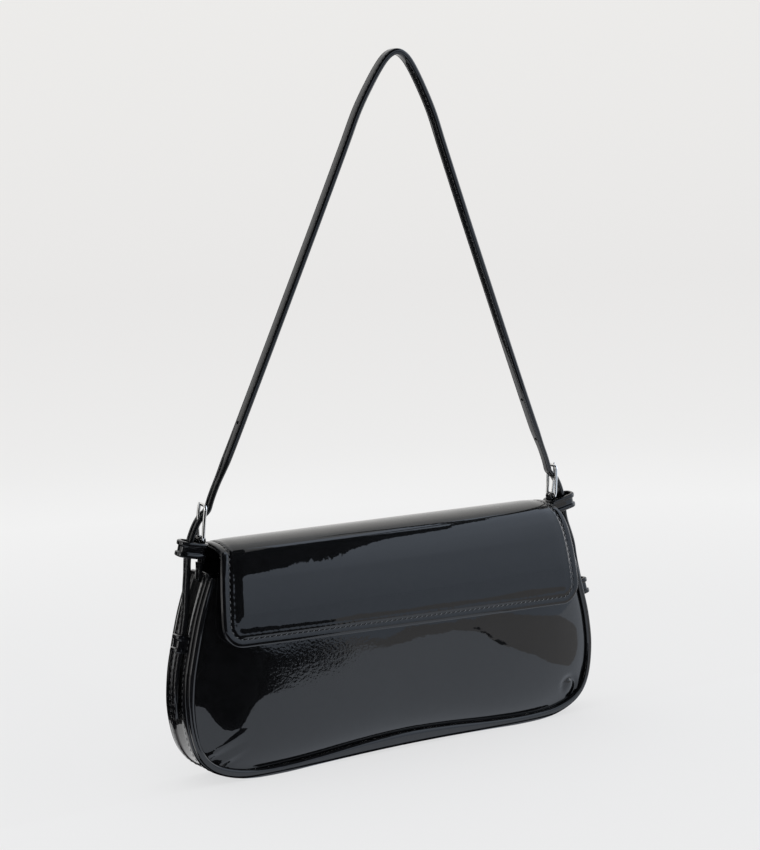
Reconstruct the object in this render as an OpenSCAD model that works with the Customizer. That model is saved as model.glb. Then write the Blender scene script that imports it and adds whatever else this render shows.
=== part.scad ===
// Slim flap shoulder bag in black patent leather, standing upright with its
// belt strap raised. X runs across the bag, Y from front to back, Z up.
// Origin: centre of the footprint of the bounding box, on the resting surface.

/* [Bag body] */
// Width across the two side rims
bag_w = 270; // [250:1:290]
// Distance between the planes of the front and back rims
bag_d = 27.3; // [24:0.1:32]
// How far the front panel bulges past the front rim
front_bulge = 9; // [7:0.1:9.2]
// How far the back panel bulges past the back rim
back_bulge = 5; // [2:0.1:8]
// Thickness of the shell leather
leather_t = 1.4; // [1.0:0.1:1.6]
// Thickness of the gusset leather
gusset_t = 1.6; // [1.2:0.1:2]

/* [Flap] */
// Half width of the flap along the top of the bag
flap_top_hw = 112; // [108:0.5:112]
// Half width of the flap at its lower edge
flap_low_hw = 117.5; // [114:0.5:118]
// Radius of the two lower corners of the flap
flap_corner_r = 12; // [6:1:16]
// Extra crown of the flap half way across
flap_crown = 1.6; // [1.2:0.1:2]

/* [Strap] */
// Width of the strap leather
strap_w = 5.6; // [5:0.1:5.8]
// Thickness of the strap, two folded layers
strap_t = 2.6; // [2.2:0.1:2.6]
// Forward lean of the raised strap, in degrees
strap_lean = 6.6; // [0:0.1:10]
// Radius of the adjustment holes
hole_r = 1; // [0.8:0.1:1.2]

/* [Buckles] */
// Radius of the buckle wire
wire_r = 0.95; // [0.8:0.05:1]
// Radius of the prong
prong_r = 0.7; // [0.6:0.05:0.75]
// Radial clearance of the chape and the prong on the heel bar
heel_clear = 0.08; // [0.05:0.01:0.1]

/* [Keepers] */
// Wall of the leather keepers
keeper_wall = 0.9; // [0.7:0.1:1]
// Height of the keepers along the strap
keeper_h = 8; // [6:0.5:8.5]

/* [Snap] */
// Radius of the magnetic snap discs
snap_r = 7; // [6:0.5:8]
// Height of the snap centre above the floor
snap_z = 85; // [83:1:88]

/* [Hidden] */

$fn = 48;
patent = [0.05, 0.05, 0.06];
edge_black = [0.09, 0.09, 0.1];
board_grey = [0.45, 0.42, 0.38];
lining_black = [0.14, 0.13, 0.14];
steel = [0.8, 0.8, 0.82];

// the whole bag is set back so that the leaning strap and the bag
// share one bounding box centred on the origin
y0 = 9.03;
rim_y = bag_d / 2;
kx = bag_w / 270;

// right half of the groove round the front panel, from bottom middle to top
groove_half = [[0, 9.4], [30, 8.2], [60, 5.8], [85, 4.8], [104, 6.2], [120, 11.8],
    [128, 22], [131.2, 40], [130, 58], [127.6, 70], [122.6, 90], [117.5, 104.5], [114.4, 112]];
// right half of the outer rim, point for point beside the groove
rim_half = [[0, 1.6], [30, 1.3], [60, 0.4], [85, -0.3], [106, 1.4], [123, 8.6],
    [131.6, 20.5], [135, 40], [133.8, 58.5], [131.3, 71], [126.2, 91], [121, 105.8], [117.8, 113.4]];

// ---- curve helpers ----
function cr(a, b, c, d, t) = 0.5 * (2 * b + (c - a) * t + (2 * a - 5 * b + 4 * c - d) * t * t
    + (3 * b - a - 3 * c + d) * t * t * t);
// smooth curve through P, n points per span; sym: P starts on the mirror line
function smooth(P, n, sym = false) = concat(
    [for (i = [0 : len(P) - 2])
        let (b = P[i], c = P[i + 1],
             a = i > 0 ? P[i - 1] : (sym ? [-P[1][0], P[1][1]] : 2 * b - c),
             d = i < len(P) - 2 ? P[i + 2] : 2 * c - b)
        for (k = [0 : n - 1]) cr(a, b, c, d, k / n)],
    [P[len(P) - 1]]);
function rev(L) = [for (i = [len(L) - 1 : -1 : 0]) L[i]];
function flip(L) = [for (p = L) [-p[0], p[1]]];
function tail(L) = [for (i = [1 : len(L) - 1]) L[i]];
// left top, round the bottom, right top
function u_path(H) = concat(rev(tail(flip(H))), H);
function dir_at(P, i) = let (a = P[max(i - 1, 0)], b = P[min(i + 1, len(P) - 1)], d = b - a) d / norm(d);
// curve moved sideways to its left by w
function beside(P, w) = [for (i = [0 : len(P) - 1]) let (d = dir_at(P, i)) P[i] + w * [-d[1], d[0]]];
function band(P, w1, w2) = concat(beside(P, w1), rev(beside(P, w2)));

function wide(H) = [for (p = H) [p[0] * kx, p[1]]];
groove_r = smooth(wide(groove_half), 3, true);
rim_r = smooth(wide(rim_half), 3, true);
groove_u = u_path(groove_r);
rim_u = u_path(rim_r);

// ---- panel surface ----
side_table = [for (p = groove_r) if (p[0] >= 84 * kx && !(p[1] < 6 && p[0] < 100 * kx)) [p[1], p[0]]];
base_table = [for (i = [0 : len(groove_r) - 1]) if (i <= 21) [groove_r[i][0], groove_r[i][1]]];
function half_w(z) = max(lookup(z, side_table), 1);
function base_z(x) = lookup(abs(x), base_table);
function puff(x, z) = pow(max(0, 1 - pow(min(1, abs(x) / half_w(z)), 4)), 0.7)
    * (1 - exp(-max(0, z - base_z(x)) / 12));
function front_y(x, z) = -rim_y - front_bulge * puff(x, z) * (1 - 0.45 * pow(max(0, z - 60) / 52, 2));
function back_y(x, z) = rim_y + back_bulge * puff(x, z) * (1 - pow(min(z, 116) / 116, 4));

// closed sheet between two height functions over a star shaped outline;
// fa is the face towards -Y, fb the face towards +Y
module sheet(loop, ts, fa, fb, c = [0, 58]) {
    n = len(loop);
    m = len(ts);
    flat = [for (t = ts) for (p = loop) c + t * (p - c)];
    pa = [for (p = flat) [p[0], fa(p[0], p[1]), p[1]]];
    pb = [for (p = flat) [p[0], fb(p[0], p[1]), p[1]]];
    pts = concat(pa, pb, [[c[0], fa(c[0], c[1]), c[1]], [c[0], fb(c[0], c[1]), c[1]]]);
    o = n * m;
    ca = 2 * o;
    cb = 2 * o + 1;
    faces = concat(
        [for (j = [0 : m - 2]) for (i = [0 : n - 1]) let (k = (i + 1) % n)
            each [[j * n + i, (j + 1) * n + i, (j + 1) * n + k], [j * n + i, (j + 1) * n + k, j * n + k]]],
        [for (i = [0 : n - 1]) let (k = (i + 1) % n) [(m - 1) * n + i, ca, (m - 1) * n + k]],
        [for (j = [0 : m - 2]) for (i = [0 : n - 1]) let (k = (i + 1) % n)
            each [[o + j * n + i, o + (j + 1) * n + k, o + (j + 1) * n + i], [o + j * n + i, o + j * n + k, o + (j + 1) * n + k]]],
        [for (i = [0 : n - 1]) let (k = (i + 1) % n) [o + (m - 1) * n + i, o + (m - 1) * n + k, cb]],
        [for (i = [0 : n - 1]) let (k = (i + 1) % n) each [[i, k, o + k], [i, o + k, o + i]]]);
    polyhedron(pts, faces, convexity = 6);
}
// outline of a panel closed across the mouth at height zt
function panel_loop(zt, hw) = concat([for (p = groove_u) [p[0], min(p[1], zt)]],
    [for (k = [1 : 7]) [hw - 2 * hw * k / 8, zt]]);
fine = [1, 0.95, 0.86, 0.72, 0.5, 0.25];
coarse = [0.965, 0.86, 0.68, 0.38];
inset = [0.95, 0.86, 0.72, 0.5, 0.25];

// rounded rim band between groove and outer rim, centred on the plane y
module rim_band(y, b) {
    n = len(rim_u);
    s = 10;
    pts = [for (i = [0 : n - 1]) let (r = rim_u[i], g = groove_u[i] + 0.06 * (rim_u[i] - groove_u[i]), c = (r + g) / 2, e = (r - g) / 2)
        for (k = [0 : s - 1]) let (f = 360 * k / s) [c[0] + e[0] * cos(f), y + b * sin(f), max(0, c[1] + e[1] * cos(f))]];
    faces = concat(
        [for (i = [0 : n - 2]) for (k = [0 : s - 1]) let (q = (k + 1) % s)
            each [[i * s + k, (i + 1) * s + k, (i + 1) * s + q], [i * s + k, (i + 1) * s + q, i * s + q]]],
        [[for (k = [0 : s - 1]) k]], [[for (k = [s - 1 : -1 : 0]) (n - 1) * s + k]]);
    polyhedron(pts, faces, convexity = 6);
}

// ---- bag shell ----
module front_panel() {
    color(patent) translate([0, y0, 0])
        sheet(panel_loop(112, groove_half[12][0] * kx), fine,
            function (x, z) front_y(x, z), function (x, z) front_y(x, z) + leather_t);
}
module back_panel() {
    color(patent) translate([0, y0, 0])
        sheet(concat(groove_u, [for (k = [0 : 8]) [(113 - 226 * k / 8) * kx, 115.5]]), fine,
            function (x, z) back_y(x, z) - leather_t, function (x, z) back_y(x, z));
}
module gusset() {
    color(patent) translate([0, y0, 0]) intersection() {
        rotate([90, 0, 0]) linear_extrude(bag_d - 4.1, center = true) polygon(band(rim_u, 0, gusset_t));
        translate([-200, -50, 0]) cube([400, 100, 200]);
    }
}
module front_piping() {
    color(edge_black) translate([0, y0, 0]) rim_band(-rim_y, 1.9);
}
module back_piping() {
    color(edge_black) translate([0, y0, 0]) rim_band(rim_y, 1.9);
}
// stiffening boards behind the leather
module front_board() {
    color(board_grey) translate([0, y0, 0])
        sheet(panel_loop(112, groove_half[12][0] * kx), inset,
            function (x, z) front_y(x, z) + leather_t + 0.1, function (x, z) front_y(x, z) + leather_t + 0.8);
}
module back_board() {
    color(board_grey) translate([0, y0, 0])
        sheet(concat(groove_u, [for (k = [0 : 8]) [(113 - 226 * k / 8) * kx, 115.5]]), inset,
            function (x, z) back_y(x, z) - leather_t - 0.9, function (x, z) back_y(x, z) - leather_t - 0.15);
}
// textile lining: two faces and the strip along the gusset
module front_lining() {
    color(lining_black) translate([0, y0, 0])
        sheet(panel_loop(111, 114 * kx), coarse,
            function (x, z) front_y(x, z) + leather_t + 2.3, function (x, z) front_y(x, z) + leather_t + 2.8);
}
module back_lining() {
    color(lining_black) translate([0, y0, 0])
        sheet(panel_loop(111, 114 * kx), coarse,
            function (x, z) back_y(x, z) - leather_t - 1.6, function (x, z) back_y(x, z) - leather_t - 1.1);
}
module gusset_lining() {
    color(lining_black) translate([0, y0, 0])
        rotate([90, 0, 0]) linear_extrude(19, center = true) polygon(band(rim_u, gusset_t + 0.2, gusset_t + 0.7));
}
// open topped pocket sewn to the back lining
module slip_pocket() {
    color(lining_black) translate([0, y0, 0])
        sheet([for (p = [[-60, 92], [-60, 70], [-60, 48], [-58, 36], [-52, 31], [-30, 30], [0, 30], [30, 30], [52, 31],
                [58, 36], [60, 48], [60, 70], [60, 92], [30, 92], [0, 92], [-30, 92]]) p], [1, 0.6, 0.3],
            function (x, z) back_y(x, z) - leather_t - 2.3, function (x, z) back_y(x, z) - leather_t - 1.8, [0, 62]);
}

// ---- flap ----
// hinge line of the fold at the top back edge
hinge_y = 12.3;
hinge_z = 118;
// side view of the flap's outer face: up the back, over the top, down the front
flap_side = [[13.75, 119.2], [13.5, 122.5], [11.8, 126.2], [8, 129], [1, 129.8], [-7, 128.9], [-14, 126.4],
    [-18.8, 122], [-21.6, 115.5], [-23.6, 107.5], [-25.2, 98], [-26.3, 88], [-26.8, 80], [-26.9, 71.5]];
flap_n = 3;
flap_out = smooth(flap_side, flap_n);
flap_len = [for (i = 0, s = 0; i < len(flap_out); i = i + 1,
    s = s + (i < len(flap_out) ? norm(flap_out[i] - flap_out[i - 1]) : 0)) s];
flap_total = flap_len[len(flap_len) - 1];
// half width: straight along the top, flaring down the front, rounded corners
function flare(i) = let (z = flap_out[i][1], t = min(1, max(0, (122 - z) / 40)))
    (i < 18 ? flap_top_hw : flap_top_hw + (flap_low_hw - flap_top_hw) * (i < 24 ? 0.45 * t : min(1, 1.15 * t)));
function flap_hw(i, cut = 0) = let (e = max(0, flap_corner_r - (flap_total - flap_len[i])))
    (flare(i) - (flap_corner_r - sqrt(max(0, flap_corner_r * flap_corner_r - e * e)))) * kx - cut;
function crown_at(i) = flap_crown * min(1, max(0, (126 - flap_out[i][1]) / 16)) * (i > 15 ? 1 : 0);
// layer of the flap between depths d1 and d2 below the outer face
module flap_layer(d1, d2, cut = 0, i0 = 0, i1 = 99, zcut = 0) {
    last = min(i1, len(flap_out) - 1);
    us = [-1, -0.93, -0.8, -0.55, -0.28, 0, 0.28, 0.55, 0.8, 0.93, 1];
    w = len(us);
    a = beside(flap_out, d1);
    b = beside(flap_out, d2);
    n = last - i0 + 1;
    pts = concat(
        [for (i = [i0 : last]) for (u = us) [u * flap_hw(i, cut), a[i][0] - crown_at(i) * (1 - u * u), a[i][1] + (i == last ? zcut : 0)]],
        [for (i = [i0 : last]) for (u = us) [u * flap_hw(i, cut), b[i][0] - crown_at(i) * (1 - u * u), b[i][1] + (i == last ? zcut : 0)]]);
    o = n * w;
    faces = concat(
        [for (i = [0 : n - 2]) for (k = [0 : w - 2]) let (p = i * w + k)
            each [[p, p + 1, p + w + 1], [p, p + w + 1, p + w], [o + p, o + p + w + 1, o + p + 1], [o + p, o + p + w, o + p + w + 1]]],
        [for (i = [0 : n - 2]) let (p = i * w, q = i * w + w - 1)
            each [[p, p + w, o + p + w], [p, o + p + w, o + p], [q, o + q, o + q + w], [q, o + q + w, q + w]]],
        [for (k = [0 : w - 2]) let (q = (n - 1) * w + k)
            each [[k, o + k, o + k + 1], [k, o + k + 1, k + 1], [q, q + 1, o + q + 1], [q, o + q + 1, o + q]]]);
    polyhedron(pts, faces, convexity = 6);
}
module flap_leather() {
    color(patent) translate([0, y0, 0]) flap_layer(0, 1.1);
}
module flap_board() {
    color(board_grey) translate([0, y0, 0]) flap_layer(1.15, 1.65, 3, 2, 99, 2);
}
module flap_lining() {
    color(edge_black) translate([0, y0, 0]) flap_layer(2.35, 2.95);
}

// ---- magnetic snap ----
// the discs lie flat against the sloping leather on each side
panel_slope = 4.3;
flap_slope = 3.6;
module snap_socket() {
    color(steel) translate([0, y0 + front_y(0, snap_z) - 0.12, snap_z]) rotate([90 - panel_slope, 0, 0]) difference() {
        cylinder(r = snap_r, h = 1.8);
        translate([0, 0, 0.9]) cylinder(r = 3.6, h = 2);
    }
}
module socket_washer() {
    color(steel) translate([0, y0 + front_y(0, snap_z) + leather_t + 1.7, snap_z]) rotate([90 - panel_slope, 0, 0])
        difference() {
            cylinder(r = 5.5, h = 0.4);
            translate([0, 0, -1]) cylinder(r = 2.2, h = 3);
        }
}
// the flap's inner face stands this far forward at the snap
flap_in = -26.62 - flap_crown + 2.95;
module snap_stud() {
    color(steel) translate([0, y0 + flap_in + 0.4, snap_z]) rotate([-90 - flap_slope, 0, 0]) {
        cylinder(r = snap_r, h = 0.6);
        cylinder(r = 2.2, h = 1.5);
    }
}
module stud_washer() {
    color(steel) translate([0, y0 + flap_in - 1, snap_z]) rotate([-90 - flap_slope, 0, 0]) difference() {
        cylinder(r = 5, h = 0.25);
        translate([0, 0, -1]) cylinder(r = 2.2, h = 3);
    }
}

// ---- strap, leaning forward about the line through the chape necks ----
pivot_y = -2;
pivot_z = 119.5;
module leaning() {
    translate([0, y0 + pivot_y, pivot_z]) rotate([strap_lean, 0, 0]) children();
}
// right half of the strap's centre line: x across, height above the pivot
strap_half = [[0, 273.6], [5, 271.6], [9.6, 266.6], [16, 256.5], [24, 241.5], [32, 222], [48.6, 182], [65.7, 141.4],
    [82.8, 101], [100.4, 60], [109.4, 40.5], [112.5, 32.6], [113.4, 29.4], [115, 27.7], [117.6, 25.8], [120.4, 21.8], [122.6, 17],
    [124.4, 11.5], [125.4, 6], [125.8, 0]];
strap_line = smooth(wide(strap_half), 3, true);
// fixed end lying down the gusset: x across, height above the floor
tail_half = [[125.9, 116.2], [127.1, 106], [128.4, 94], [131.4, 79], [135.1, 63.3], [136.8, 50], [137, 43], [137, 36.5]];
tail_line = smooth([for (p = tail_half) [p[0] + 135 * (kx - 1), p[1]]], 3);
// plate in the plane of the bag with its thickness along Y
module slab(P, w) {
    rotate([90, 0, 0]) linear_extrude(w, center = true) polygon(P);
}
// round hole through the strap face at point p, with the strap running along d
module strap_hole(p, d) {
    translate([p[0], 0, p[1]]) rotate([0, 90 - atan2(d[1], d[0]) - 90, 0]) cylinder(r = hole_r, h = 8, center = true);
}
module shoulder_strap() {
    h = strap_t / 2;
    full = concat(rev(tail(flip(strap_line))), strap_line);
    color(patent) leaning() difference() {
        union() {
            slab(band(full, -h, h), strap_w);
            // rounded ends that turn in place over the fixed tails
            for (s = [-1, 1]) translate([s * strap_half[19][0] * kx, 0, 0]) rotate([0, 90, 0])
                cylinder(r = strap_w / 2, h = strap_t, center = true);
        }
        // slots for the prongs
        for (s = [-1, 1]) slab([for (q = [[115.2, 18.5], [116, 32], [122.8, 29], [120.6, 18.5]]) [s * (q[0] + 135 * (kx - 1)), q[1]]], 2);
        // adjustment holes up each side
        for (s = [-1, 1]) for (q = [[105, 50], [93.9, 75]])
            strap_hole([s * q[0] * kx, q[1]], [s * 17.6, -41]);
    }
}
module strap_tail(s) {
    h = strap_t / 2;
    translate([0, y0 + pivot_y, 0]) intersection() {
        difference() {
            slab([for (p = band(tail_line, -h, h)) [s * p[0], p[1]]], strap_w);
            for (q = [[128.4, 94, 1.9, -13], [133.4, 70.5, 3.7, -15.7], [136.9, 46.5, 0.4, -10]])
                strap_hole([s * (q[0] + 135 * (kx - 1)), q[1]], [s * q[2], q[3]]);
        }
        // tapered tip
        rotate([0, 90, 0]) rotate([0, 0, 90]) linear_extrude(400, center = true)
            polygon([[-strap_w / 2, 130], [-strap_w / 2, 40], [-1.6, 37], [0, 36.5], [1.6, 37], [strap_w / 2, 40], [strap_w / 2, 130]]);
    }
}
module strap_tail_left() { color(patent) strap_tail(-1); }
module strap_tail_right() { color(patent) strap_tail(1); }

// ---- chapes: folded tabs that hold the buckles' heel bars ----
heel_x = 115.5 + 135 * (kx - 1);
heel_h = 11.8;
top_h = 31;
module chape_loop(s) {
    leaning() translate([s * heel_x, 0, 0]) difference() {
        union() {
            translate([0, 0, heel_h]) rotate([90, 0, 0]) cylinder(r = 2.2, h = 5.4, center = true);
            slab([[s * 0.7, 0], [s * 2.6, 0], [s * 2.2, 10], [s * 0.2, heel_h], [s * -0.7, 9.9]], 5.4);
            translate([s * 1.65, 0, 0]) rotate([0, 90, 0]) cylinder(r = 2.7, h = 1.9, center = true);
        }
        translate([0, 0, heel_h]) rotate([90, 0, 0]) cylinder(r = wire_r + heel_clear, h = 20, center = true);
        translate([-5, -1.05, 9.3]) cube([10, 2.1, 10]);
    }
}
module chape_loop_left() { color(patent) chape_loop(-1); }
module chape_loop_right() { color(patent) chape_loop(1); }
// lower leaf, sewn down the outside of the gusset
module chape_tab(s) {
    o = [for (p = [[117.8, 113.4], [119.4, 109.8], [121, 105.8], [122.2, 102.6]]) [p[0] + 135 * (kx - 1), p[1]]];
    translate([0, y0 + pivot_y, 0])
        slab([for (q = concat([[115.6 + 135 * (kx - 1), 114], [115.6 + 135 * (kx - 1), 115.4], [118.4 + 135 * (kx - 1), 115.4]],
            [for (p = o) p + [1.7, 0.9]], rev([for (p = o) p + [0.55, 0.35]]))) [s * q[0], q[1]]], 5.4);
}
module chape_tab_left() { color(patent) chape_tab(-1); }
module chape_tab_right() { color(patent) chape_tab(1); }

// ---- buckles ----
bar_y = 4;
module buckle_frame(s) {
    leaning() translate([s * heel_x, 0, 0]) {
        for (h = [heel_h, top_h]) translate([0, 0, h]) rotate([90, 0, 0])
            cylinder(r = wire_r, h = 2 * bar_y, center = true);
        for (y = [-bar_y, bar_y]) {
            translate([0, y, heel_h]) cylinder(r = wire_r, h = top_h - heel_h);
            for (h = [heel_h, top_h]) translate([0, y, h]) sphere(r = wire_r);
        }
    }
}
module buckle_frame_left() { color(steel) buckle_frame(-1); }
module buckle_frame_right() { color(steel) buckle_frame(1); }
module buckle_prong(s) {
    dx = 1.83;
    dz = 20.9;
    leaning() translate([s * heel_x, 0, heel_h]) difference() {
        union() {
            rotate([90, 0, 0]) cylinder(r = 1.9, h = 1.6, center = true);
            rotate([0, s * atan2(dx, dz), 0]) {
                cylinder(r = prong_r, h = norm([dx, dz]));
                translate([0, 0, norm([dx, dz])]) sphere(r = prong_r);
            }
        }
        rotate([90, 0, 0]) cylinder(r = wire_r + heel_clear, h = 20, center = true);
    }
}
module buckle_prong_left() { color(steel) buckle_prong(-1); }
module buckle_prong_right() { color(steel) buckle_prong(1); }

// ---- keepers ----
ring_x = 121.9 + 135 * (kx - 1);
ring_l = 16.4;
module upper_keeper(s) {
    w = strap_w + 0.6;
    leaning() translate([s * ring_x, 0, 7.2]) rotate([0, s * -12, 0]) difference() {
        cube([ring_l, w + 2 * keeper_wall, keeper_h], center = true);
        cube([ring_l - 2 * keeper_wall, w, keeper_h + 4], center = true);
    }
}
module upper_keeper_left() { color(edge_black) upper_keeper(-1); }
module upper_keeper_right() { color(edge_black) upper_keeper(1); }
// bridge over the tail, sewn into the gusset
module lower_keeper(s) {
    w = strap_w + 0.6;
    d = strap_t + 0.1;
    translate([s * (131.75 + 135 * (kx - 1)), y0 + pivot_y, 77.4]) rotate([0, s * -13.4, 0]) mirror([s < 0 ? 1 : 0, 0, 0])
        difference() {
            translate([-d / 2, -w / 2 - keeper_wall, -keeper_h / 2]) cube([d + 0.3 + keeper_wall, w + 2 * keeper_wall, keeper_h]);
            translate([-d / 2 - 2, -w / 2, -keeper_h]) cube([d + 2.3, w, 2 * keeper_h]);
        }
}
module lower_keeper_left() { color(edge_black) lower_keeper(-1); }
module lower_keeper_right() { color(edge_black) lower_keeper(1); }

front_panel();
back_panel();
gusset();
front_piping();
back_piping();
front_board();
back_board();
front_lining();
back_lining();
gusset_lining();
slip_pocket();
snap_socket();
socket_washer();
flap_leather();
flap_board();
flap_lining();
snap_stud();
stud_washer();
shoulder_strap();
strap_tail_left();
strap_tail_right();
chape_loop_left();
chape_loop_right();
chape_tab_left();
chape_tab_right();
buckle_frame_left();
buckle_frame_right();
buckle_prong_left();
buckle_prong_right();
upper_keeper_left();
upper_keeper_right();
lower_keeper_left();
lower_keeper_right();
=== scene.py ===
import math
import bmesh
import bpy
import numpy as np
from mathutils import Matrix, Vector


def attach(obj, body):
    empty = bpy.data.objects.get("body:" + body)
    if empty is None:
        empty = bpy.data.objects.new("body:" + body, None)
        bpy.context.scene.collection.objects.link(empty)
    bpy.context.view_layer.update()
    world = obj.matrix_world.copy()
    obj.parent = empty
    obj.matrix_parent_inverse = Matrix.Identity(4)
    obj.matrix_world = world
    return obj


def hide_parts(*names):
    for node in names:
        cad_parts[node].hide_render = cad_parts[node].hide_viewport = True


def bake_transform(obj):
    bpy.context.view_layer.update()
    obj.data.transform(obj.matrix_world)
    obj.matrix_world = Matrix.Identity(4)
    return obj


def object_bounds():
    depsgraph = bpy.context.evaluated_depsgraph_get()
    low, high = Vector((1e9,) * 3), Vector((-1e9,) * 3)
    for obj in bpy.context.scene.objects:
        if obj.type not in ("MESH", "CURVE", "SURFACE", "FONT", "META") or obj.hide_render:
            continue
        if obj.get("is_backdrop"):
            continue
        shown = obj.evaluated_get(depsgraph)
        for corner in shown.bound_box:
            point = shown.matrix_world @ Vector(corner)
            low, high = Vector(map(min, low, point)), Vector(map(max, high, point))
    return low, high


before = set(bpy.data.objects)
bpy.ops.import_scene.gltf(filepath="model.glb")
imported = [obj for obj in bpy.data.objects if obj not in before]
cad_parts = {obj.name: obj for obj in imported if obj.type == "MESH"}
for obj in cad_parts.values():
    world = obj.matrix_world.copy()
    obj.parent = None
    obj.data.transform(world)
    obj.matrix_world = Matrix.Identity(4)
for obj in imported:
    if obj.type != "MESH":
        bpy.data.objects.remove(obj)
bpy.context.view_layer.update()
scene = bpy.context.scene

# everything below is worked out in millimetres round the middle of the gusset,
# and set back by Y0 into the shared frame
Y0 = 9.03
LEAN = math.radians(6.6)
CL, SL = math.cos(LEAN), math.sin(LEAN)
RIM_Y = 13.65
LEATHER = 1.4


def metres(P):
    return (np.asarray(P, float).reshape(-1, 3) + [0, Y0, 0]) / 1000


def lean(P):
    """Points (x, y, height above the chape necks) of the leaning strap."""
    P = np.asarray(P, float).reshape(-1, 3)
    return np.stack([P[:, 0], -2 + P[:, 1] * CL - P[:, 2] * SL, 119.5 + P[:, 1] * SL + P[:, 2] * CL], 1)


# ------------------------------------------------------------------ curves
def catmull(P, n, sym=False):
    P = np.asarray(P, float)
    out = []
    for i in range(len(P) - 1):
        b, c = P[i], P[i + 1]
        a = P[i - 1] if i else (P[1] * [-1, 1] if sym else 2 * b - c)
        d = P[i + 2] if i < len(P) - 2 else 2 * c - b
        t = (np.arange(n) / n)[:, None]
        out.append(0.5 * (2 * b + (c - a) * t + (2 * a - 5 * b + 4 * c - d) * t ** 2 + (3 * b - a - 3 * c + d) * t ** 3))
    return np.concatenate(out + [P[-1:]])


def arclen(P):
    return np.concatenate([[0], np.cumsum(np.linalg.norm(np.diff(P, axis=0), axis=1))])


def resample(P, step=None, s=None):
    L = arclen(P)
    if s is None:
        s = np.linspace(0, L[-1], max(2, int(round(L[-1] / step)) + 1))
    return np.stack([np.interp(s, L, P[:, k]) for k in range(P.shape[1])], 1)


def soften(P, sigma, step):
    """Gaussian smoothing of an evenly spaced open curve, with its ends kept."""
    n = int(3 * sigma / step)
    if n < 1:
        return P
    w = np.exp(-0.5 * (np.arange(-n, n + 1) * step / sigma) ** 2)
    w /= w.sum()
    head = 2 * P[0] - P[n:0:-1]
    tail = 2 * P[-1] - P[-2:-n - 2:-1]
    Q = np.concatenate([head, P, tail])
    return np.stack([np.convolve(Q[:, k], w, "valid") for k in range(P.shape[1])], 1)


def tangents(P, closed=False):
    if closed:
        d = np.roll(P, -1, 0) - np.roll(P, 1, 0)
    else:
        d = np.gradient(P, axis=0)
    return d / np.maximum(np.linalg.norm(d, axis=1), 1e-9)[:, None]


def u_path(half, step=1.2, sigma=3.0):
    """Left top, round the bottom, right top; mirror-symmetric and smooth."""
    H = catmull(half, 24, True)
    full = np.concatenate([(H * [-1, 1])[:0:-1], H])
    P = resample(full, step)
    P = soften(P, sigma, step)
    return P


GROOVE = [[0, 9.4], [30, 8.2], [60, 5.8], [85, 4.8], [104, 6.2], [120, 11.8], [128, 22], [131.2, 40], [130, 58],
          [127.6, 70], [122.6, 90], [117.5, 104.5], [114.4, 112]]
RIM = [[0, 1.6], [30, 1.3], [60, 0.4], [85, -0.3], [106, 1.4], [123, 8.6], [131.6, 20.5], [135, 40], [133.8, 58.5],
       [131.3, 71], [126.2, 91], [121, 105.8], [117.8, 113.4]]
groove_u = u_path(GROOVE)
rim_raw = u_path(RIM)
# the rim point for point beside the groove
rim_u = resample(rim_raw, s=np.linspace(0, arclen(rim_raw)[-1], len(groove_u)))

_half = groove_u[groove_u[:, 0] >= 0]
_side = _half[(_half[:, 0] > 100) & (_half[:, 1] > 6)]
_side = _side[np.argsort(_side[:, 1])]
_base = _half[_half[:, 1] < 22]
_base = _base[np.argsort(_base[:, 0])]


def half_w(z):
    return np.interp(z, _side[:, 1], _side[:, 0])


def base_z(x):
    return np.interp(np.abs(x), _base[:, 0], _base[:, 1])


def puff(x, z):
    return (np.maximum(0, 1 - np.minimum(1, np.abs(x) / half_w(z)) ** 4) ** 0.7
            * (1 - np.exp(-np.maximum(0, z - base_z(x)) / 12)))


def front_y(x, z):
    return -RIM_Y - 9 * puff(x, z) * (1 - 0.45 * (np.maximum(0, z - 60) / 52) ** 2)


def back_y(x, z):
    return RIM_Y + 5 * puff(x, z) * (1 - (np.minimum(z, 116) / 116) ** 4)


# ------------------------------------------------------------------ meshes
def grid_faces(rows, cols, close_cols=False, close_rows=False, off=0):
    i = np.arange(rows if close_rows else rows - 1)[:, None]
    j = np.arange(cols if close_cols else cols - 1)[None, :]
    a = i * cols + j
    b = i * cols + (j + 1) % cols
    c = ((i + 1) % rows) * cols + (j + 1) % cols
    d = ((i + 1) % rows) * cols + j
    return (np.stack([a, b, c, d], -1).reshape(-1, 4) + off).tolist()


def add(name, verts, faces, mat, body=None, nodes=(), sharp=35, recalc=True):
    me = bpy.data.meshes.new(name)
    me.from_pydata(metres(verts).tolist(), [], faces)
    if recalc:
        bm = bmesh.new()
        bm.from_mesh(me)
        bmesh.ops.recalc_face_normals(bm, faces=bm.faces)
        bm.to_mesh(me)
        bm.free()
    me.validate()
    for p in me.polygons:
        p.use_smooth = True
    if sharp:
        me.set_sharp_from_angle(angle=math.radians(sharp))
    o = bpy.data.objects.new(name, me)
    scene.collection.objects.link(o)
    me.materials.append(mat)
    if body:
        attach(o, body)
    if nodes:
        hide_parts(*nodes)
    return o


def stack(rows):
    """Closed solid from closed loops, its first and last loop filled from their middles."""
    N = len(rows[0])
    V = np.concatenate(list(rows) + [rows[0].mean(0)[None], rows[-1].mean(0)[None]])
    F = grid_faces(len(rows), N, close_cols=True)
    c0 = len(rows) * N
    o = (len(rows) - 1) * N
    F += [[c0, (j + 1) % N, j] for j in range(N)] + [[c0 + 1, o + j, o + (j + 1) % N] for j in range(N)]
    return V, F


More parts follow.
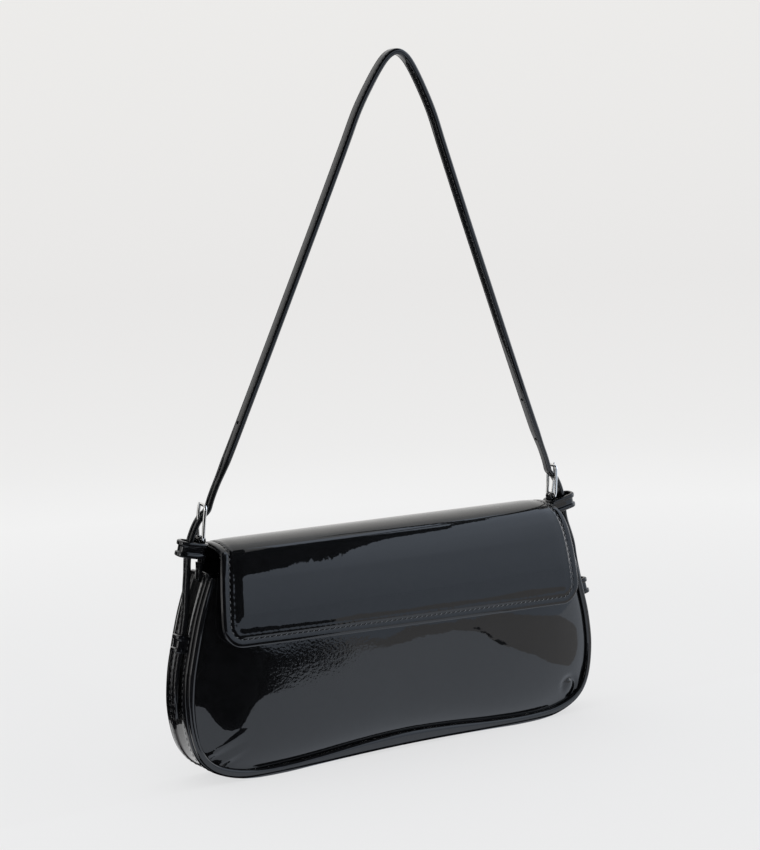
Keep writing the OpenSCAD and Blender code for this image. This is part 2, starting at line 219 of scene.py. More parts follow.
def sweep(path, nrm, side, sec, closed=False):
    """Section points (along nrm, along side) carried along a path. sec is one section, or one for each point."""
    sec = np.asarray(sec, float)
    if sec.ndim == 2:
        sec = np.repeat(sec[None], len(path), 0)
    V = path[:, None] + sec[:, :, :1] * nrm[:, None] + sec[:, :, 1:] * side[:, None]
    k = sec.shape[1]
    F = grid_faces(len(path), k, close_cols=True, close_rows=closed)
    V = V.reshape(-1, 3)
    if not closed:
        V = np.concatenate([V, path[:1] + sec[0, :, :1].mean() * nrm[:1] + sec[0, :, 1:].mean() * side[:1],
                            path[-1:] + sec[-1, :, :1].mean() * nrm[-1:] + sec[-1, :, 1:].mean() * side[-1:]])
        c = len(path) * k
        o = (len(path) - 1) * k
        F += [[c, (j + 1) % k, j] for j in range(k)] + [[c + 1, o + j, o + (j + 1) % k] for j in range(k)]
    return V, F


def rrect(w, h, r, n=4):
    """Rounded rectangle w by h as (first, second) axis points."""
    P = []
    for cx, cy, a0 in ((w / 2 - r, h / 2 - r, 0), (-w / 2 + r, h / 2 - r, 90), (-w / 2 + r, -h / 2 + r, 180), (w / 2 - r, -h / 2 + r, 270)):
        for k in range(n + 1):
            a = math.radians(a0 + 90 * k / n)
            P.append([cx + r * math.cos(a), cy + r * math.sin(a)])
    return np.array(P)


def merge(parts):
    V, F, o = [], [], 0
    for v, f in parts:
        V.append(np.asarray(v, float).reshape(-1, 3))
        F += [[i + o for i in q] for q in f]
        o += len(V[-1])
    return np.concatenate(V), F


def applied(o):
    """The object's mesh with its modifiers applied."""
    dg = bpy.context.evaluated_depsgraph_get()
    me = bpy.data.meshes.new_from_object(o.evaluated_get(dg))
    o.modifiers.clear()
    o.data = me
    return o


def cut(o, V, F):
    """Cuts the solid V, F out of o."""
    me = bpy.data.meshes.new("cutter")
    me.from_pydata(metres(V).tolist(), [], F)
    bm = bmesh.new()
    bm.from_mesh(me)
    bmesh.ops.recalc_face_normals(bm, faces=bm.faces)
    bm.to_mesh(me)
    bm.free()
    c = bpy.data.objects.new("cutter", me)
    scene.collection.objects.link(c)
    b = o.modifiers.new("cut", "BOOLEAN")
    b.operation = "DIFFERENCE"
    b.solver = "EXACT"
    b.object = c
    applied(o)
    bpy.data.objects.remove(c)
    o.data.set_sharp_from_angle(angle=math.radians(35))


def rod(a, b, r, n=20):
    a, b = np.asarray(a, float), np.asarray(b, float)
    t = (b - a) / np.linalg.norm(b - a)
    u = np.cross(t, [0.3, 1, 0.2])
    u /= np.linalg.norm(u)
    v = np.cross(t, u)
    sec = [[r * math.cos(2 * math.pi * k / n), r * math.sin(2 * math.pi * k / n)] for k in range(n)]
    return sweep(np.array([a, b]), np.array([u, u]), np.array([v, v]), sec)


def stitches(name, pts, nrm, mat, body, pitch=3.3, length=2.3, r=0.27, sink=0.06, slant=0.0, start=0.5, closed=False):
    """A row of thread stitches along pts on a surface whose outward normal is nrm."""
    L = arclen(pts)
    n = int((L[-1] - 2 * start) / pitch)
    if n < 1:
        return None
    s0 = (L[-1] - (n - 1) * pitch) / 2
    s = s0 + pitch * np.arange(n)
    P = resample(pts, s=s)
    N = np.stack([np.interp(s, L, nrm[:, k]) for k in range(3)], 1)
    N /= np.linalg.norm(N, axis=1)[:, None]
    T = resample(pts, s=s + 0.3) - resample(pts, s=s - 0.3)
    T /= np.maximum(np.linalg.norm(T, axis=1), 1e-9)[:, None]
    B = np.cross(N, T)
    T2 = T * math.cos(slant) + B * math.sin(slant)
    B2 = np.cross(N, T2)
    xs = np.array([-1, -0.86, -0.5, 0, 0.5, 0.86, 1]) * length / 2
    rs = np.array([0.3, 0.78, 1, 1.04, 1, 0.78, 0.3]) * r
    zs = np.array([-0.95, -0.45, -0.05, 0, -0.05, -0.45, -0.95]) * r - sink
    k = 7
    V, F, o = [], [], 0
    ang = 2 * math.pi * np.arange(k) / k
    for i in range(n):
        rows = []
        for x, q, z in zip(xs, rs, zs):
            rows.append(P[i] + T2[i] * x + N[i] * z + np.outer(np.cos(ang) * q, B2[i]) + np.outer(np.sin(ang) * q, N[i]))
        v, f = stack(rows)
        V.append(v)
        F += [[a + o for a in q] for q in f]
        o += len(v)
    return add(name, np.concatenate(V), F, mat, body, sharp=0, recalc=True)


# ------------------------------------------------------------------ materials
def new_mat(name, base=(0.01, 0.01, 0.012), rough=0.2, metal=0.0, coat=0.0, coat_rough=0.03, spec=0.5, sheen=0.0):
    mt = bpy.data.materials.new(name)
    mt.use_nodes = True
    nt = mt.node_tree
    p = nt.nodes["Principled BSDF"]
    p.inputs["Base Color"].default_value = (*base, 1)
    p.inputs["Roughness"].default_value = rough
    p.inputs["Metallic"].default_value = metal
    p.inputs["Coat Weight"].default_value = coat
    p.inputs["Coat Roughness"].default_value = coat_rough
    p.inputs["Specular IOR Level"].default_value = spec
    p.inputs["Sheen Weight"].default_value = sheen
    mt.diffuse_color = (*base, 1)
    return mt, nt, p


def tex(nt, kind, **props):
    n = nt.nodes.new(kind)
    for k, v in props.items():
        if k in n.inputs:
            n.inputs[k].default_value = v
        else:
            setattr(n, k, v)
    return n


def coords(nt):
    return nt.nodes.new("ShaderNodeTexCoord").outputs["Object"]


def noise(nt, co, scale, detail=2.0, rough=0.5):
    n = tex(nt, "ShaderNodeTexNoise", Scale=scale, Detail=detail, Roughness=rough)
    nt.links.new(co, n.inputs["Vector"])
    return n.outputs["Fac"]


def ramp(nt, fac, stops):
    r = nt.nodes.new("ShaderNodeValToRGB")
    el = r.color_ramp.elements
    while len(el) < len(stops):
        el.new(0.5)
    for e, (pos, col) in zip(el, stops):
        e.position = pos
        e.color = (*col, 1) if len(col) == 3 else col
    nt.links.new(fac, r.inputs["Fac"])
    return r.outputs["Color"]


def math_node(nt, op, a, b):
    n = nt.nodes.new("ShaderNodeMath")
    n.operation = op
    for k, v in enumerate((a, b)):
        if isinstance(v, (int, float)):
            n.inputs[k].default_value = v
        else:
            nt.links.new(v, n.inputs[k])
    return n.outputs[0]


def bump(nt, p, heights, coat=True):
    """Chains (height output, distance in m) into the shader's normals."""
    last = None
    for h, dist in heights:
        b = nt.nodes.new("ShaderNodeBump")
        b.inputs["Strength"].default_value = 1
        b.inputs["Distance"].default_value = dist
        nt.links.new(h, b.inputs["Height"])
        if last is not None:
            nt.links.new(last, b.inputs["Normal"])
        last = b.outputs["Normal"]
    nt.links.new(last, p.inputs["Normal"])
    if coat:
        nt.links.new(last, p.inputs["Coat Normal"])


def patent(name, peel=1.0, zone=None, tone=1.0):
    """Black patent leather: near-black grain under a clear, slightly uneven gloss film."""
    mt, nt, p = new_mat(name, rough=0.32, coat=1.0, coat_rough=0.018, spec=0.04)
    co = coords(nt)
    col = ramp(nt, noise(nt, co, 260, 4, 0.6), [(0.3, (0.0011 * tone, 0.0012 * tone, 0.0015 * tone)), (0.75, (0.0032 * tone, 0.0034 * tone, 0.0042 * tone))])
    nt.links.new(col, p.inputs["Base Color"])
    fine = noise(nt, co, 900, 3, 0.55)
    wave = noise(nt, co, 170, 2, 0.5)
    slow = noise(nt, co, 38, 1.5, 0.4)
    heights = [(slow, 0.00016 * peel), (wave, 0.00003 * peel), (fine, 0.0000025 * peel)]
    if zone:
        # an area of fine close wrinkles: an ellipse (centre x, z and half sizes) in metres
        cx, cz, rx, rz = zone
        mp = nt.nodes.new("ShaderNodeMapping")
        mp.inputs["Scale"].default_value = (1 / rx, 0.0, 1 / rz)
        mp.inputs["Location"].default_value = (-cx / rx, 0.0, -cz / rz)
        nt.links.new(co, mp.inputs["Vector"])
        g = tex(nt, "ShaderNodeTexGradient")
        g.gradient_type = "SPHERICAL"
        nt.links.new(mp.outputs["Vector"], g.inputs["Vector"])
        area = ramp(nt, g.outputs["Fac"], [(0.0, (0, 0, 0)), (0.6, (1, 1, 1))])
        crease = noise(nt, co, 640, 2, 0.5)
        heights.append((math_node(nt, "MULTIPLY", crease, area), 0.00011))
    bump(nt, p, heights)
    r = ramp(nt, noise(nt, co, 60, 3, 0.5), [(0.3, (0.27,) * 3), (0.8, (0.4,) * 3)])
    nt.links.new(r, p.inputs["Roughness"])
    return mt


def satin(name, base=(0.008, 0.008, 0.009), rough=0.34):
    """Edge paint and thin trim leather: black with a lower gloss."""
    mt, nt, p = new_mat(name, base=base, rough=rough, coat=0.6, coat_rough=0.12, spec=0.35)
    co = coords(nt)
    col = ramp(nt, noise(nt, co, 420, 3), [(0.3, tuple(c * 0.6 for c in base)), (0.8, tuple(c * 1.5 for c in base))])
    nt.links.new(col, p.inputs["Base Color"])
    bump(nt, p, [(noise(nt, co, 600, 3), 0.00003), (noise(nt, co, 120, 2), 0.00006)])
    return mt


M_PANEL = patent("patent_panel", 1.0, zone=(-0.062, 0.062, 0.052, 0.02))
M_FLAP = patent("patent_flap", 0.9)
M_STRAP = patent("patent_strap", 0.7, tone=1.5)
M_TRIM = patent("patent_trim", 0.6, tone=1.6)
M_EDGE = satin("painted_edge")


def textile(name, base=(0.014, 0.014, 0.016)):
    """Closely woven lining."""
    mt, nt, p = new_mat(name, base=base, rough=0.75, spec=0.3, sheen=0.25)
    co = coords(nt)
    parts = []
    for axis in ("X", "Z"):
        w = tex(nt, "ShaderNodeTexWave", Scale=620.0, Distortion=0.6)
        w.wave_type = "BANDS"
        w.bands_direction = axis
        w.inputs["Detail"].default_value = 1
        nt.links.new(co, w.inputs["Vector"])
        parts.append(w.outputs["Fac"])
    h = math_node(nt, "MULTIPLY", parts[0], parts[1])
    col = ramp(nt, h, [(0.1, tuple(c * 0.45 for c in base)), (0.8, tuple(c * 1.7 for c in base))])
    nt.links.new(col, p.inputs["Base Color"])
    bump(nt, p, [(h, 0.00012), (noise(nt, co, 45, 2), 0.0004)], coat=False)
    return mt


M_LINING = textile("lining_twill")


def board_mat():
    mt, nt, p = new_mat("fibre_board", base=(0.3, 0.24, 0.17), rough=0.85, spec=0.25)
    co = coords(nt)
    col = ramp(nt, noise(nt, co, 300, 6, 0.7), [(0.3, (0.16, 0.12, 0.08)), (0.7, (0.36, 0.29, 0.21))])
    nt.links.new(col, p.inputs["Base Color"])
    bump(nt, p, [(noise(nt, co, 700, 5, 0.7), 0.0002)], coat=False)
    return mt


M_BOARD = board_mat()


def thread_mat():
    mt, nt, p = new_mat("thread", base=(0.006, 0.006, 0.007), rough=0.3, coat=1.0, coat_rough=0.07, spec=0.5)
    co = coords(nt)
    w = tex(nt, "ShaderNodeTexWave", Scale=1400.0, Distortion=0.3)
    w.bands_direction = "DIAGONAL"
    nt.links.new(co, w.inputs["Vector"])
    bump(nt, p, [(w.outputs["Fac"], 0.00006)], coat=False)
    col = ramp(nt, w.outputs["Fac"], [(0.1, (0.003, 0.003, 0.0035)), (0.9, (0.011, 0.011, 0.0125))])
    nt.links.new(col, p.inputs["Base Color"])
    return mt


M_THREAD = thread_mat()


def metal(name, base, rough, brushed=0.0):
    mt, nt, p = new_mat(name, base=base, rough=rough, metal=1.0)
    co = coords(nt)
    mp = nt.nodes.new("ShaderNodeMapping")
    mp.inputs["Scale"].default_value = (1, 1, 12 if brushed else 1)
    nt.links.new(co, mp.inputs["Vector"])
    n = noise(nt, mp.outputs["Vector"], 500, 4, 0.6)
    nt.links.new(ramp(nt, n, [(0.3, (rough * 0.7,) * 3), (0.8, (rough * 1.5,) * 3)]), p.inputs["Roughness"])
    bump(nt, p, [(n, 0.000004 + 0.00002 * brushed)], coat=False)
    return mt


M_BUCKLE = metal("polished_nickel", (0.80, 0.795, 0.78), 0.07)
M_SNAP = metal("satin_nickel", (0.68, 0.675, 0.66), 0.28, 1.0)

# ------------------------------------------------------------------ front and back panels
TOP_F, TOP_B = 112.0, 115.5


def panel_loop(top, step=1.2):
    P = groove_u.copy()
    P[:, 1] = np.minimum(P[:, 1], top)
    x = P[-1, 0]
    n = int(2 * x / step)
    if top > P[-1, 1] + 0.5:
        edge = np.stack([np.linspace(x - 1.4, -x + 1.4, n), np.full(n, top)], 1)
    else:
        edge = np.stack([np.linspace(x, -x, n + 2)[1:-1], np.full(n, top)], 1)
    return np.concatenate([P, edge])


def ring_ts(K, power):
    return 1 - (np.arange(K) / K) ** power


def panel(name, loop, outer, thick, mat, nodes, body, K=44, sign=-1, centre=(0, 58)):
    """A sheet with its outer face at outer(x, z) and its inner face thick behind it."""
    c = np.array(centre, float)
    rows = []
    for t in ring_ts(K, 1.75)[::-1]:
        Q = c + t * (loop - c)
        rows.append(np.stack([Q[:, 0], outer(Q[:, 0], Q[:, 1]), Q[:, 1]], 1))
    for t in ring_ts(K // 2, 1.6):
        Q = c + t * (loop - c)
        rows.append(np.stack([Q[:, 0], outer(Q[:, 0], Q[:, 1]) - sign * thick, Q[:, 1]], 1))
    V, F = stack(rows)
    return add(name, V, F, mat, body, nodes, sharp=40)


def seg_dist(x, z, a, b):
    """Distance from points to a segment, and the share along it."""
    ax, az = a
    bx, bz = b
    dx, dz = bx - ax, bz - az
    t = np.clip(((x - ax) * dx + (z - az) * dz) / (dx * dx + dz * dz), 0, 1)
    return np.hypot(x - ax - t * dx, z - az - t * dz), t


# pressed creases running in from the lower left corner, and their depth and width
CREASES = [((-127.5, 15.5), (-104.0, 28.0), 0.85, 1.2), ((-125.5, 12.5), (-103.0, 23.0), -0.8, 1.2),
           ((-122.0, 9.5), (-103.0, 18.5), 0.8, 1.1), ((-118.0, 7.8), (-105.0, 13.5), -0.5, 1.0)]


def front_detail(x, z):
    """Small uneven places of the front leather, positive towards the viewer."""
    inner = np.clip((z - base_z(x)) / 14, 0, 1) * np.clip((half_w(z) - np.abs(x)) / 16, 0, 1)
    d = 0.10 * np.sin(x / 17.0 + 0.8 * np.sin(z / 19.0)) * np.sin(z / 13.0 + 1.1) * inner
    d = d + 0.05 * np.sin(x / 6.3 + z / 9.1) * np.sin(z / 5.7 - x / 21.0) * inner
    for a, b, h, w in CREASES:
        r, t = seg_dist(x, z, a, b)
        d = d + h * np.exp(-(r / w) ** 2) * np.clip(1.25 - t, 0, 1) * np.clip((t + 0.02) * 8, 0, 1)
    # a horseshoe-shaped dent near the lower right corner
    cx, cz = 116.3, 17.0
    rr = np.hypot((x - cx) / 5.2, (z - cz) / 6.0)
    ang = np.arctan2(z - cz, x - cx)
    ring = np.exp(-((rr - 1) / 0.24) ** 2) * np.clip(1.2 + np.sin(ang + 0.5) * 1.1, 0, 1)
    d = d - 1.0 * ring + 0.7 * np.exp(-(rr / 0.6) ** 2)
    return d


def front_face(x, z):
    return front_y(x, z) - front_detail(x, z)


panel("front_panel", panel_loop(TOP_F), front_face, LEATHER, M_PANEL, ["front_panel"], "bag")


def back_face(x, z):
    inner = np.clip((z - base_z(x)) / 14, 0, 1) * np.clip((half_w(z) - np.abs(x)) / 16, 0, 1)
    return back_y(x, z) + 0.10 * np.sin(x / 19.0 + 0.5 * np.sin(z / 15.0)) * np.sin(z / 15.0) * inner


panel("back_panel", panel_loop(TOP_B), back_face, LEATHER, M_PANEL, ["back_panel"], "bag", sign=1)

# boards and linings: the same surfaces, further in
_loop95 = np.array([0, 58]) + 0.95 * (panel_loop(TOP_F, 3.0) - [0, 58])
panel("front_board", _loop95, lambda x, z: front_y(x, z) + LEATHER + 0.15, 0.6, M_BOARD, ["front_board"], "bag", K=14)
panel("back_board", _loop95, lambda x, z: back_y(x, z) - LEATHER - 0.15, 0.6, M_BOARD, ["back_board"], "bag", K=14, sign=1)
_loop96 = np.array([0, 58]) + 0.965 * (panel_loop(TOP_F - 1, 2.0) - [0, 58])


def lining_wave(x, z):
    return 0.25 * np.sin(x / 11.0 + np.sin(z / 13.0)) * np.sin(z / 17.0) * np.clip((108 - z) / 20, 0, 1)


panel("front_lining", _loop96, lambda x, z: front_y(x, z) + LEATHER + 2.4 + lining_wave(x, z), 0.45, M_LINING, ["front_lining"], "bag", K=24)
panel("back_lining", _loop96, lambda x, z: back_y(x, z) - LEATHER - 1.15 - lining_wave(x, z), 0.45, M_LINING, ["back_lining"], "bag", K=24, sign=1)


# bindings turned over the two mouth edges, with a stitch row
def mouth_binding(name, face, top, half, sign, inner_gap, body="bag"):
    xs = np.linspace(-half, half, 150)
    thick = inner_gap
    # section in (away from the bag's middle, up): outside down 6, over the top, inside down 7
    r = thick / 2 + 0.35
    prof = [[r, -6.5]] + [[r * math.cos(a), r * 0.8 * math.sin(a)] for a in np.linspace(0, math.pi, 11)] + [[-r, -7.5]]
    prof += [[-r + 0.7, -7.5]] + [[(r - 0.7) * math.cos(a), (r - 0.7) * 0.8 * math.sin(a)] for a in np.linspace(math.pi, 0, 11)] + [[r - 0.7, -6.5]]
    prof = np.array(prof)
    rows = []
    for x in xs:
        z = top - 0.2 + prof[:, 1]
        y = face(np.full(len(prof), x), np.minimum(z, top)) - sign * thick / 2 + sign * prof[:, 0]
        rows.append(np.stack([np.full(len(prof), x), y, z], 1))
    V, F = stack(rows)
    add(name, V, F, M_TRIM, body, sharp=50)
    z = top - 5.0
    for side, off in (("outside", r + 0.02), ("inside", -r - 0.02)):
        y = face(xs, np.full(len(xs), z)) - sign * thick / 2 + sign * off
        P = np.stack([xs, y, np.full(len(xs), z)], 1)
        N = np.tile([0, sign * (1 if off > 0 else -1), 0], (len(xs), 1)).astype(float)
        stitches(name + "_stitches_" + side, P, N, M_THREAD, body, pitch=3.3)


mouth_binding("front_mouth_binding", front_y, TOP_F, 112.2, -1, 4.2)
mouth_binding("back_mouth_binding", back_y, TOP_B, 111.2, 1, 3.2)


# slip pocket on the back lining, open at the top, with a hem
def pocket():
    w0, w1, z0, z1, r = 52.0, 60.0, 30.0, 92.0, 9.0
    out = []
    for cx, cz, a0 in ((w1 - 0.1, z1 - 0.1, 0), (-w1 + 0.1, z1 - 0.1, 90), (-w1 + r, z0 + r, 180), (w1 - r, z0 + r, 270)):
        rr = 0.1 if cz > 60 else r
        for k in range(8):
            a = math.radians(a0 + 90 * k / 7)
            out.append([cx + rr * math.cos(a), cz + rr * math.sin(a)])
    P = resample(np.array(out + out[:1]), 1.5)[:-1]

    def outer(x, z):
        full = 1.4 * np.clip((z - 34) / 40, 0, 1) * np.cos(np.clip(np.abs(x) / 60, 0, 1) * math.pi / 2)
        return back_y(x, z) - LEATHER - 1.85 - full

    panel("slip_pocket", P, lambda x, z: outer(x, z), 0.5, M_LINING, ["slip_pocket"], "bag", K=16, sign=1, centre=(0, 62))
    hem_x = np.linspace(-58, 58, 80)
    for dz in (0.0,):
        V, F = sweep(np.stack([hem_x, outer(hem_x, np.full(80, 88.5)) - 0.45, np.full(80, 88.5)], 1),
                     np.tile([0.0, -1, 0], (80, 1)), np.tile([0.0, 0, 1], (80, 1)), rrect(0.5, 6.5, 0.2, 3))
        add("slip_pocket_hem", V, F, M_LINING, "bag")
    path = []
    for p in P:
        if p[1] < 90:
            path.append(p)
    path = np.array(sorted(path, key=lambda p: math.atan2(p[0], -(p[1] - 62))))
    path = np.array([0, 62]) + 0.965 * (path - [0, 62])
    y = outer(path[:, 0], path[:, 1]) - 0.5 - 0.02
    stitches("slip_pocket_stitches", np.stack([path[:, 0], y, path[:, 1]], 1), np.tile([0.0, -1, 0], (len(path), 1)), M_THREAD, "bag", pitch=2.8, length=2.0, r=0.22)


pocket()


# ------------------------------------------------------------------ gusset and rims
def outward(P):
    t = tangents(P)
    return np.stack([t[:, 1], -t[:, 0]], 1)  # left top to right top round the bottom: outside is to the right


rim_n = outward(rim_u)
GUSSET_HALF = 11.9
# outer face: raised sewn hems beside each rim, a slightly hollow middle
hem = [(-11.9, -0.15), (-11.75, 0.3), (-11.3, 0.56), (-10.2, 0.66), (-8.6, 0.64), (-7.2, 0.58), (-6.75, 0.42), (-6.55, 0.12), (-6.3, -0.02),
       (-4, -0.12), (0, -0.2)]
hem_full = hem + [(-y, o) for y, o in hem[-2::-1]]
sec = np.array([[o, y] for y, o in hem_full] + [[-1.6, y] for y in (11.9, 6, 0, -6, -11.9)])
path3 = np.stack([rim_u[:, 0], np.zeros(len(rim_u)), rim_u[:, 1]], 1)
nrm3 = np.stack([rim_n[:, 0], np.zeros(len(rim_u)), rim_n[:, 1]], 1)
side3 = np.tile([0.0, 1, 0], (len(rim_u), 1))
V, F = sweep(path3, nrm3, side3, sec)
V[:, 2] = np.maximum(V[:, 2], 0)
add("gusset", V, F, M_PANEL, "bag", ["gusset"], sharp=50)
for y, tag in ((-7.9, "front"), (7.9, "back")):
    P = path3 + nrm3 * 0.62 + [0, y, 0]
    keep = P[:, 2] > 0.05
    keep = np.ones(len(P), bool)
    P[:, 2] = np.maximum(P[:, 2], 0.18)
    stitches("gusset_stitches_" + tag, P, nrm3, M_THREAD, "bag", pitch=3.3, length=2.3, r=0.26, sink=0.1)

# lining strip of the gusset
V, F = sweep(path3, nrm3, side3, np.array([[-1.8, y] for y in np.linspace(-9.5, 9.5, 7)] + [[-2.3, y] for y in np.linspace(9.5, -9.5, 7)]))
add("gusset_lining", V, F, M_LINING, "bag", ["gusset_lining"], sharp=60)


def rim_band(name, y, node):
    """The rolled rim between a panel and the gusset: a band that is rounded on its outer edge and widens under the bag."""
    g = groove_u + 0.05 * (rim_u - groove_u)
    c = (rim_u + g) / 2
    e = (rim_u - g) / 2
    k = 24
    a = 2 * math.pi * np.arange(k) / k
    q = 2.7
    ca = np.sign(np.cos(a)) * np.abs(np.cos(a)) ** (2 / q)
    sa = np.sign(np.sin(a)) * np.abs(np.sin(a)) ** (2 / q)
    L = arclen(c)
    f = np.clip(np.minimum(L, L[-1] - L) / 2.6, 0, 1)
    f = (0.25 + 0.75 * np.sqrt(1 - (1 - f) ** 2))[:, None]
    V = np.stack([c[:, None, 0] + e[:, None, 0] * ca * f, y + 1.9 * sa * f, c[:, None, 1] + e[:, None, 1] * ca * f], 2)
    rows = list(V)
    V, F = stack(rows)
    V[:, 2] = np.maximum(V[:, 2], 0)
    add(name, V, F, M_TRIM, "bag", [node], sharp=60)


# the two top ends of the gusset are turned over a cord
for sd, tag in ((-1, "left"), (1, "right")):
    ys = np.linspace(-12.6, 12.6, 60)
    q = np.clip((np.abs(ys) - 8.5) / 4.1, 0, 1)
    k = 0 if sd < 0 else -1
    bx, bz = rim_u[k] - rim_n[k] * 0.55
    P = np.stack([np.full(60, bx) + sd * 1.0 * q ** 2, ys, bz + 0.5 - 2.6 * q ** 2 + 0.25 * np.cos(ys / 3.1)], 1)
    t = tangents(P)
    n = np.cross(t, [sd * 1.0, 0, 0.2])
    n /= np.linalg.norm(n, axis=1)[:, None]
    b = np.cross(t, n)
    sec = [[1.5 * math.cos(a), 1.62 * math.sin(a)] for a in np.linspace(0, 2 * math.pi, 18, endpoint=False)]
    V, F = sweep(P, n, b, sec)
    add("gusset_top_roll_" + tag, V, F, M_TRIM, "bag", sharp=60)
rim_band("front_piping", -RIM_Y, "front_piping")
rim_band("back_piping", RIM_Y, "back_piping")

# ------------------------------------------------------------------ flap
FLAP_SIDE = [[16.75, 102.5], [16.3, 107], [15.6, 111.5], [14.8, 115.5], [13.95, 119.4], [13.4, 122.6], [11.9, 126.5], [8, 129.2], [1, 130.1],
             [-7, 129.5], [-14.3, 127.2], [-19.3, 122.9], [-22.0, 116.2], [-23.8, 107.6], [-25.3, 98], [-26.3, 88], [-26.8, 80], [-26.9, 66]]
STEP = 0.35
prof = soften(resample(catmull(FLAP_SIDE, 30), STEP), 1.5, STEP)
prof_s = arclen(prof)
prof_t = tangents(prof)
inward = np.stack([-prof_t[:, 1], prof_t[:, 0]], 1)
on_front = np.arange(len(prof)) > np.argmax(prof[:, 1])
S_FOLD = prof_s[np.argmin(np.where(on_front, 1e9, np.abs(prof[:, 1] - 118)))]
S_END = prof_s[np.argmin(np.where(on_front, np.abs(prof[:, 1] - 71.5), 1e9))]
S_TOP = prof_s[np.argmax(prof[:, 1])]
S_LAP = 0.8
CORNER = 12.0
SKEW = 2.7


def flap_hw(s):
    """Half width of the flap at distance s along its side view."""
    z = np.interp(s, prof_s, prof[:, 1])
    front = np.interp(z, [71.5, 88, 95, 105, 115, 122, 126.4], [117.5, 117.5, 117.2, 116.4, 115.1, 113.6, 112.2])
    f = np.where(s > S_TOP, front, 112.0)
    return np.where(s < S_FOLD + 1.0, 111.6, f)


def flap_end(x):
    """The lower edge hangs a little lower at the right than at the left."""
    return S_END - 1.3 + SKEW * x / 117.0


def flap_point(x, s, depth):
    py = np.interp(s, prof_s, prof[:, 0])
    pz = np.interp(s, prof_s, prof[:, 1])
    ny = np.interp(s, prof_s, inward[:, 0])
    nz = np.interp(s, prof_s, inward[:, 1])
    ln = np.hypot(ny, nz)
    k = np.interp(s, [S_FOLD - 6, S_FOLD + 3], [0.62, 1.0])
    d = depth * k
    # the fold stands a little higher at the right than at the left
    e = np.clip((pz - 100) / 28, 0, 1)
    pz = pz + (0.15 + 0.2 * x / 117) * e * e * (3 - 2 * e)
    crown = 1.6 * np.where(s > S_TOP, np.clip((127 - pz) / 16, 0, 1), 0) * (1 - np.clip(np.abs(x) / 117, 0, 1) ** 2)
    wav = 0.10 * np.sin(x / 23.0 + 0.6) * np.sin(s / 17.0) + 0.06 * np.sin(x / 9.5 + s / 14.0)
    wav = wav * np.clip((s - S_TOP) / 20, 0, 1)
    return np.stack([x, py + d * ny / ln - crown - wav, pz + d * nz / ln], -1)


def flap_outline(inset, n_side=150, n_corner=22, n_end=240):
    """Flat outline (x, s) of the flap, moved in by inset: up the left side, corner, lower edge, corner, right side."""
    r = CORNER - inset
    L = []
    hw = flap_hw(S_END) - inset
    for sgn in (-1,):
        s_c = flap_end(sgn * (hw - r)) - inset - r
        s_line = np.linspace(S_LAP + inset, s_c, n_side)
        L.append(np.stack([sgn * (flap_hw(s_line) - inset), s_line], 1))
        a = np.linspace(0, math.pi / 2, n_corner)[1:]
        L.append(np.stack([sgn * (hw - r + r * np.cos(a)), s_c + r * np.sin(a)], 1))
    x_line = np.linspace(-(hw - r), hw - r, n_end)[1:-1]
    L.append(np.stack([x_line, flap_end(x_line) - inset], 1))
    s_c = flap_end(hw - r) - inset - r
    a = np.linspace(math.pi / 2, 0, n_corner)[:-1]
    L.append(np.stack([hw - r + r * np.cos(a), s_c + r * np.sin(a)], 1))
    s_line = np.linspace(s_c, S_LAP + inset, n_side)
    L.append(np.stack([flap_hw(s_line) - inset, s_line], 1))
    return np.concatenate(L)


outline0 = flap_outline(0.0)
STITCH_IN = 4.4
stitch_line = flap_outline(STITCH_IN)
stitch_len = arclen(stitch_line)


def edge_profile(x, s):
    """How far each flat point lies in from the outline, and how far along it."""
    O = resample(outline0, 0.7)
    T = tangents(O)
    P = np.stack([x.ravel(), s.ravel()], 1)
    best = np.full(len(P), 1e9)
    along = np.zeros(len(P))
    L = arclen(O)
    for k in range(0, len(P), 4000):
        d = np.hypot(P[k:k + 4000, None, 0] - O[None, :, 0], P[k:k + 4000, None, 1] - O[None, :, 1])
        j = d.argmin(1)
        best[k:k + 4000] = d[np.arange(len(j)), j]
        along[k:k + 4000] = L[j]
    return best.reshape(x.shape), along.reshape(x.shape)


def flap_relief(x, s):
    """Height of the sewn edge: a soft pad outside the stitch row, a puckered channel along it."""
    d, l = edge_profile(x, s)
    ph = 2 * math.pi * l / 3.3
    chan = np.exp(-((d - STITCH_IN) / 0.7) ** 2)
    h = -0.34 * chan * (0.8 + 0.35 * np.cos(ph))
    h = h + 0.12 * np.exp(-((d - STITCH_IN - 1.5) / 0.9) ** 2) * (1 + 0.6 * np.cos(ph + 0.6))
    h = h + 0.12 * np.exp(-((d - 2.0) / 1.2) ** 2)
    e = np.clip((d - STITCH_IN) / 9.5, 0, 1)
    side = np.clip((S_END - s - 7) / 14, 0, 1)
    h = h + (0.2 + 0.45 * side) * e * (2 - e)
    return h


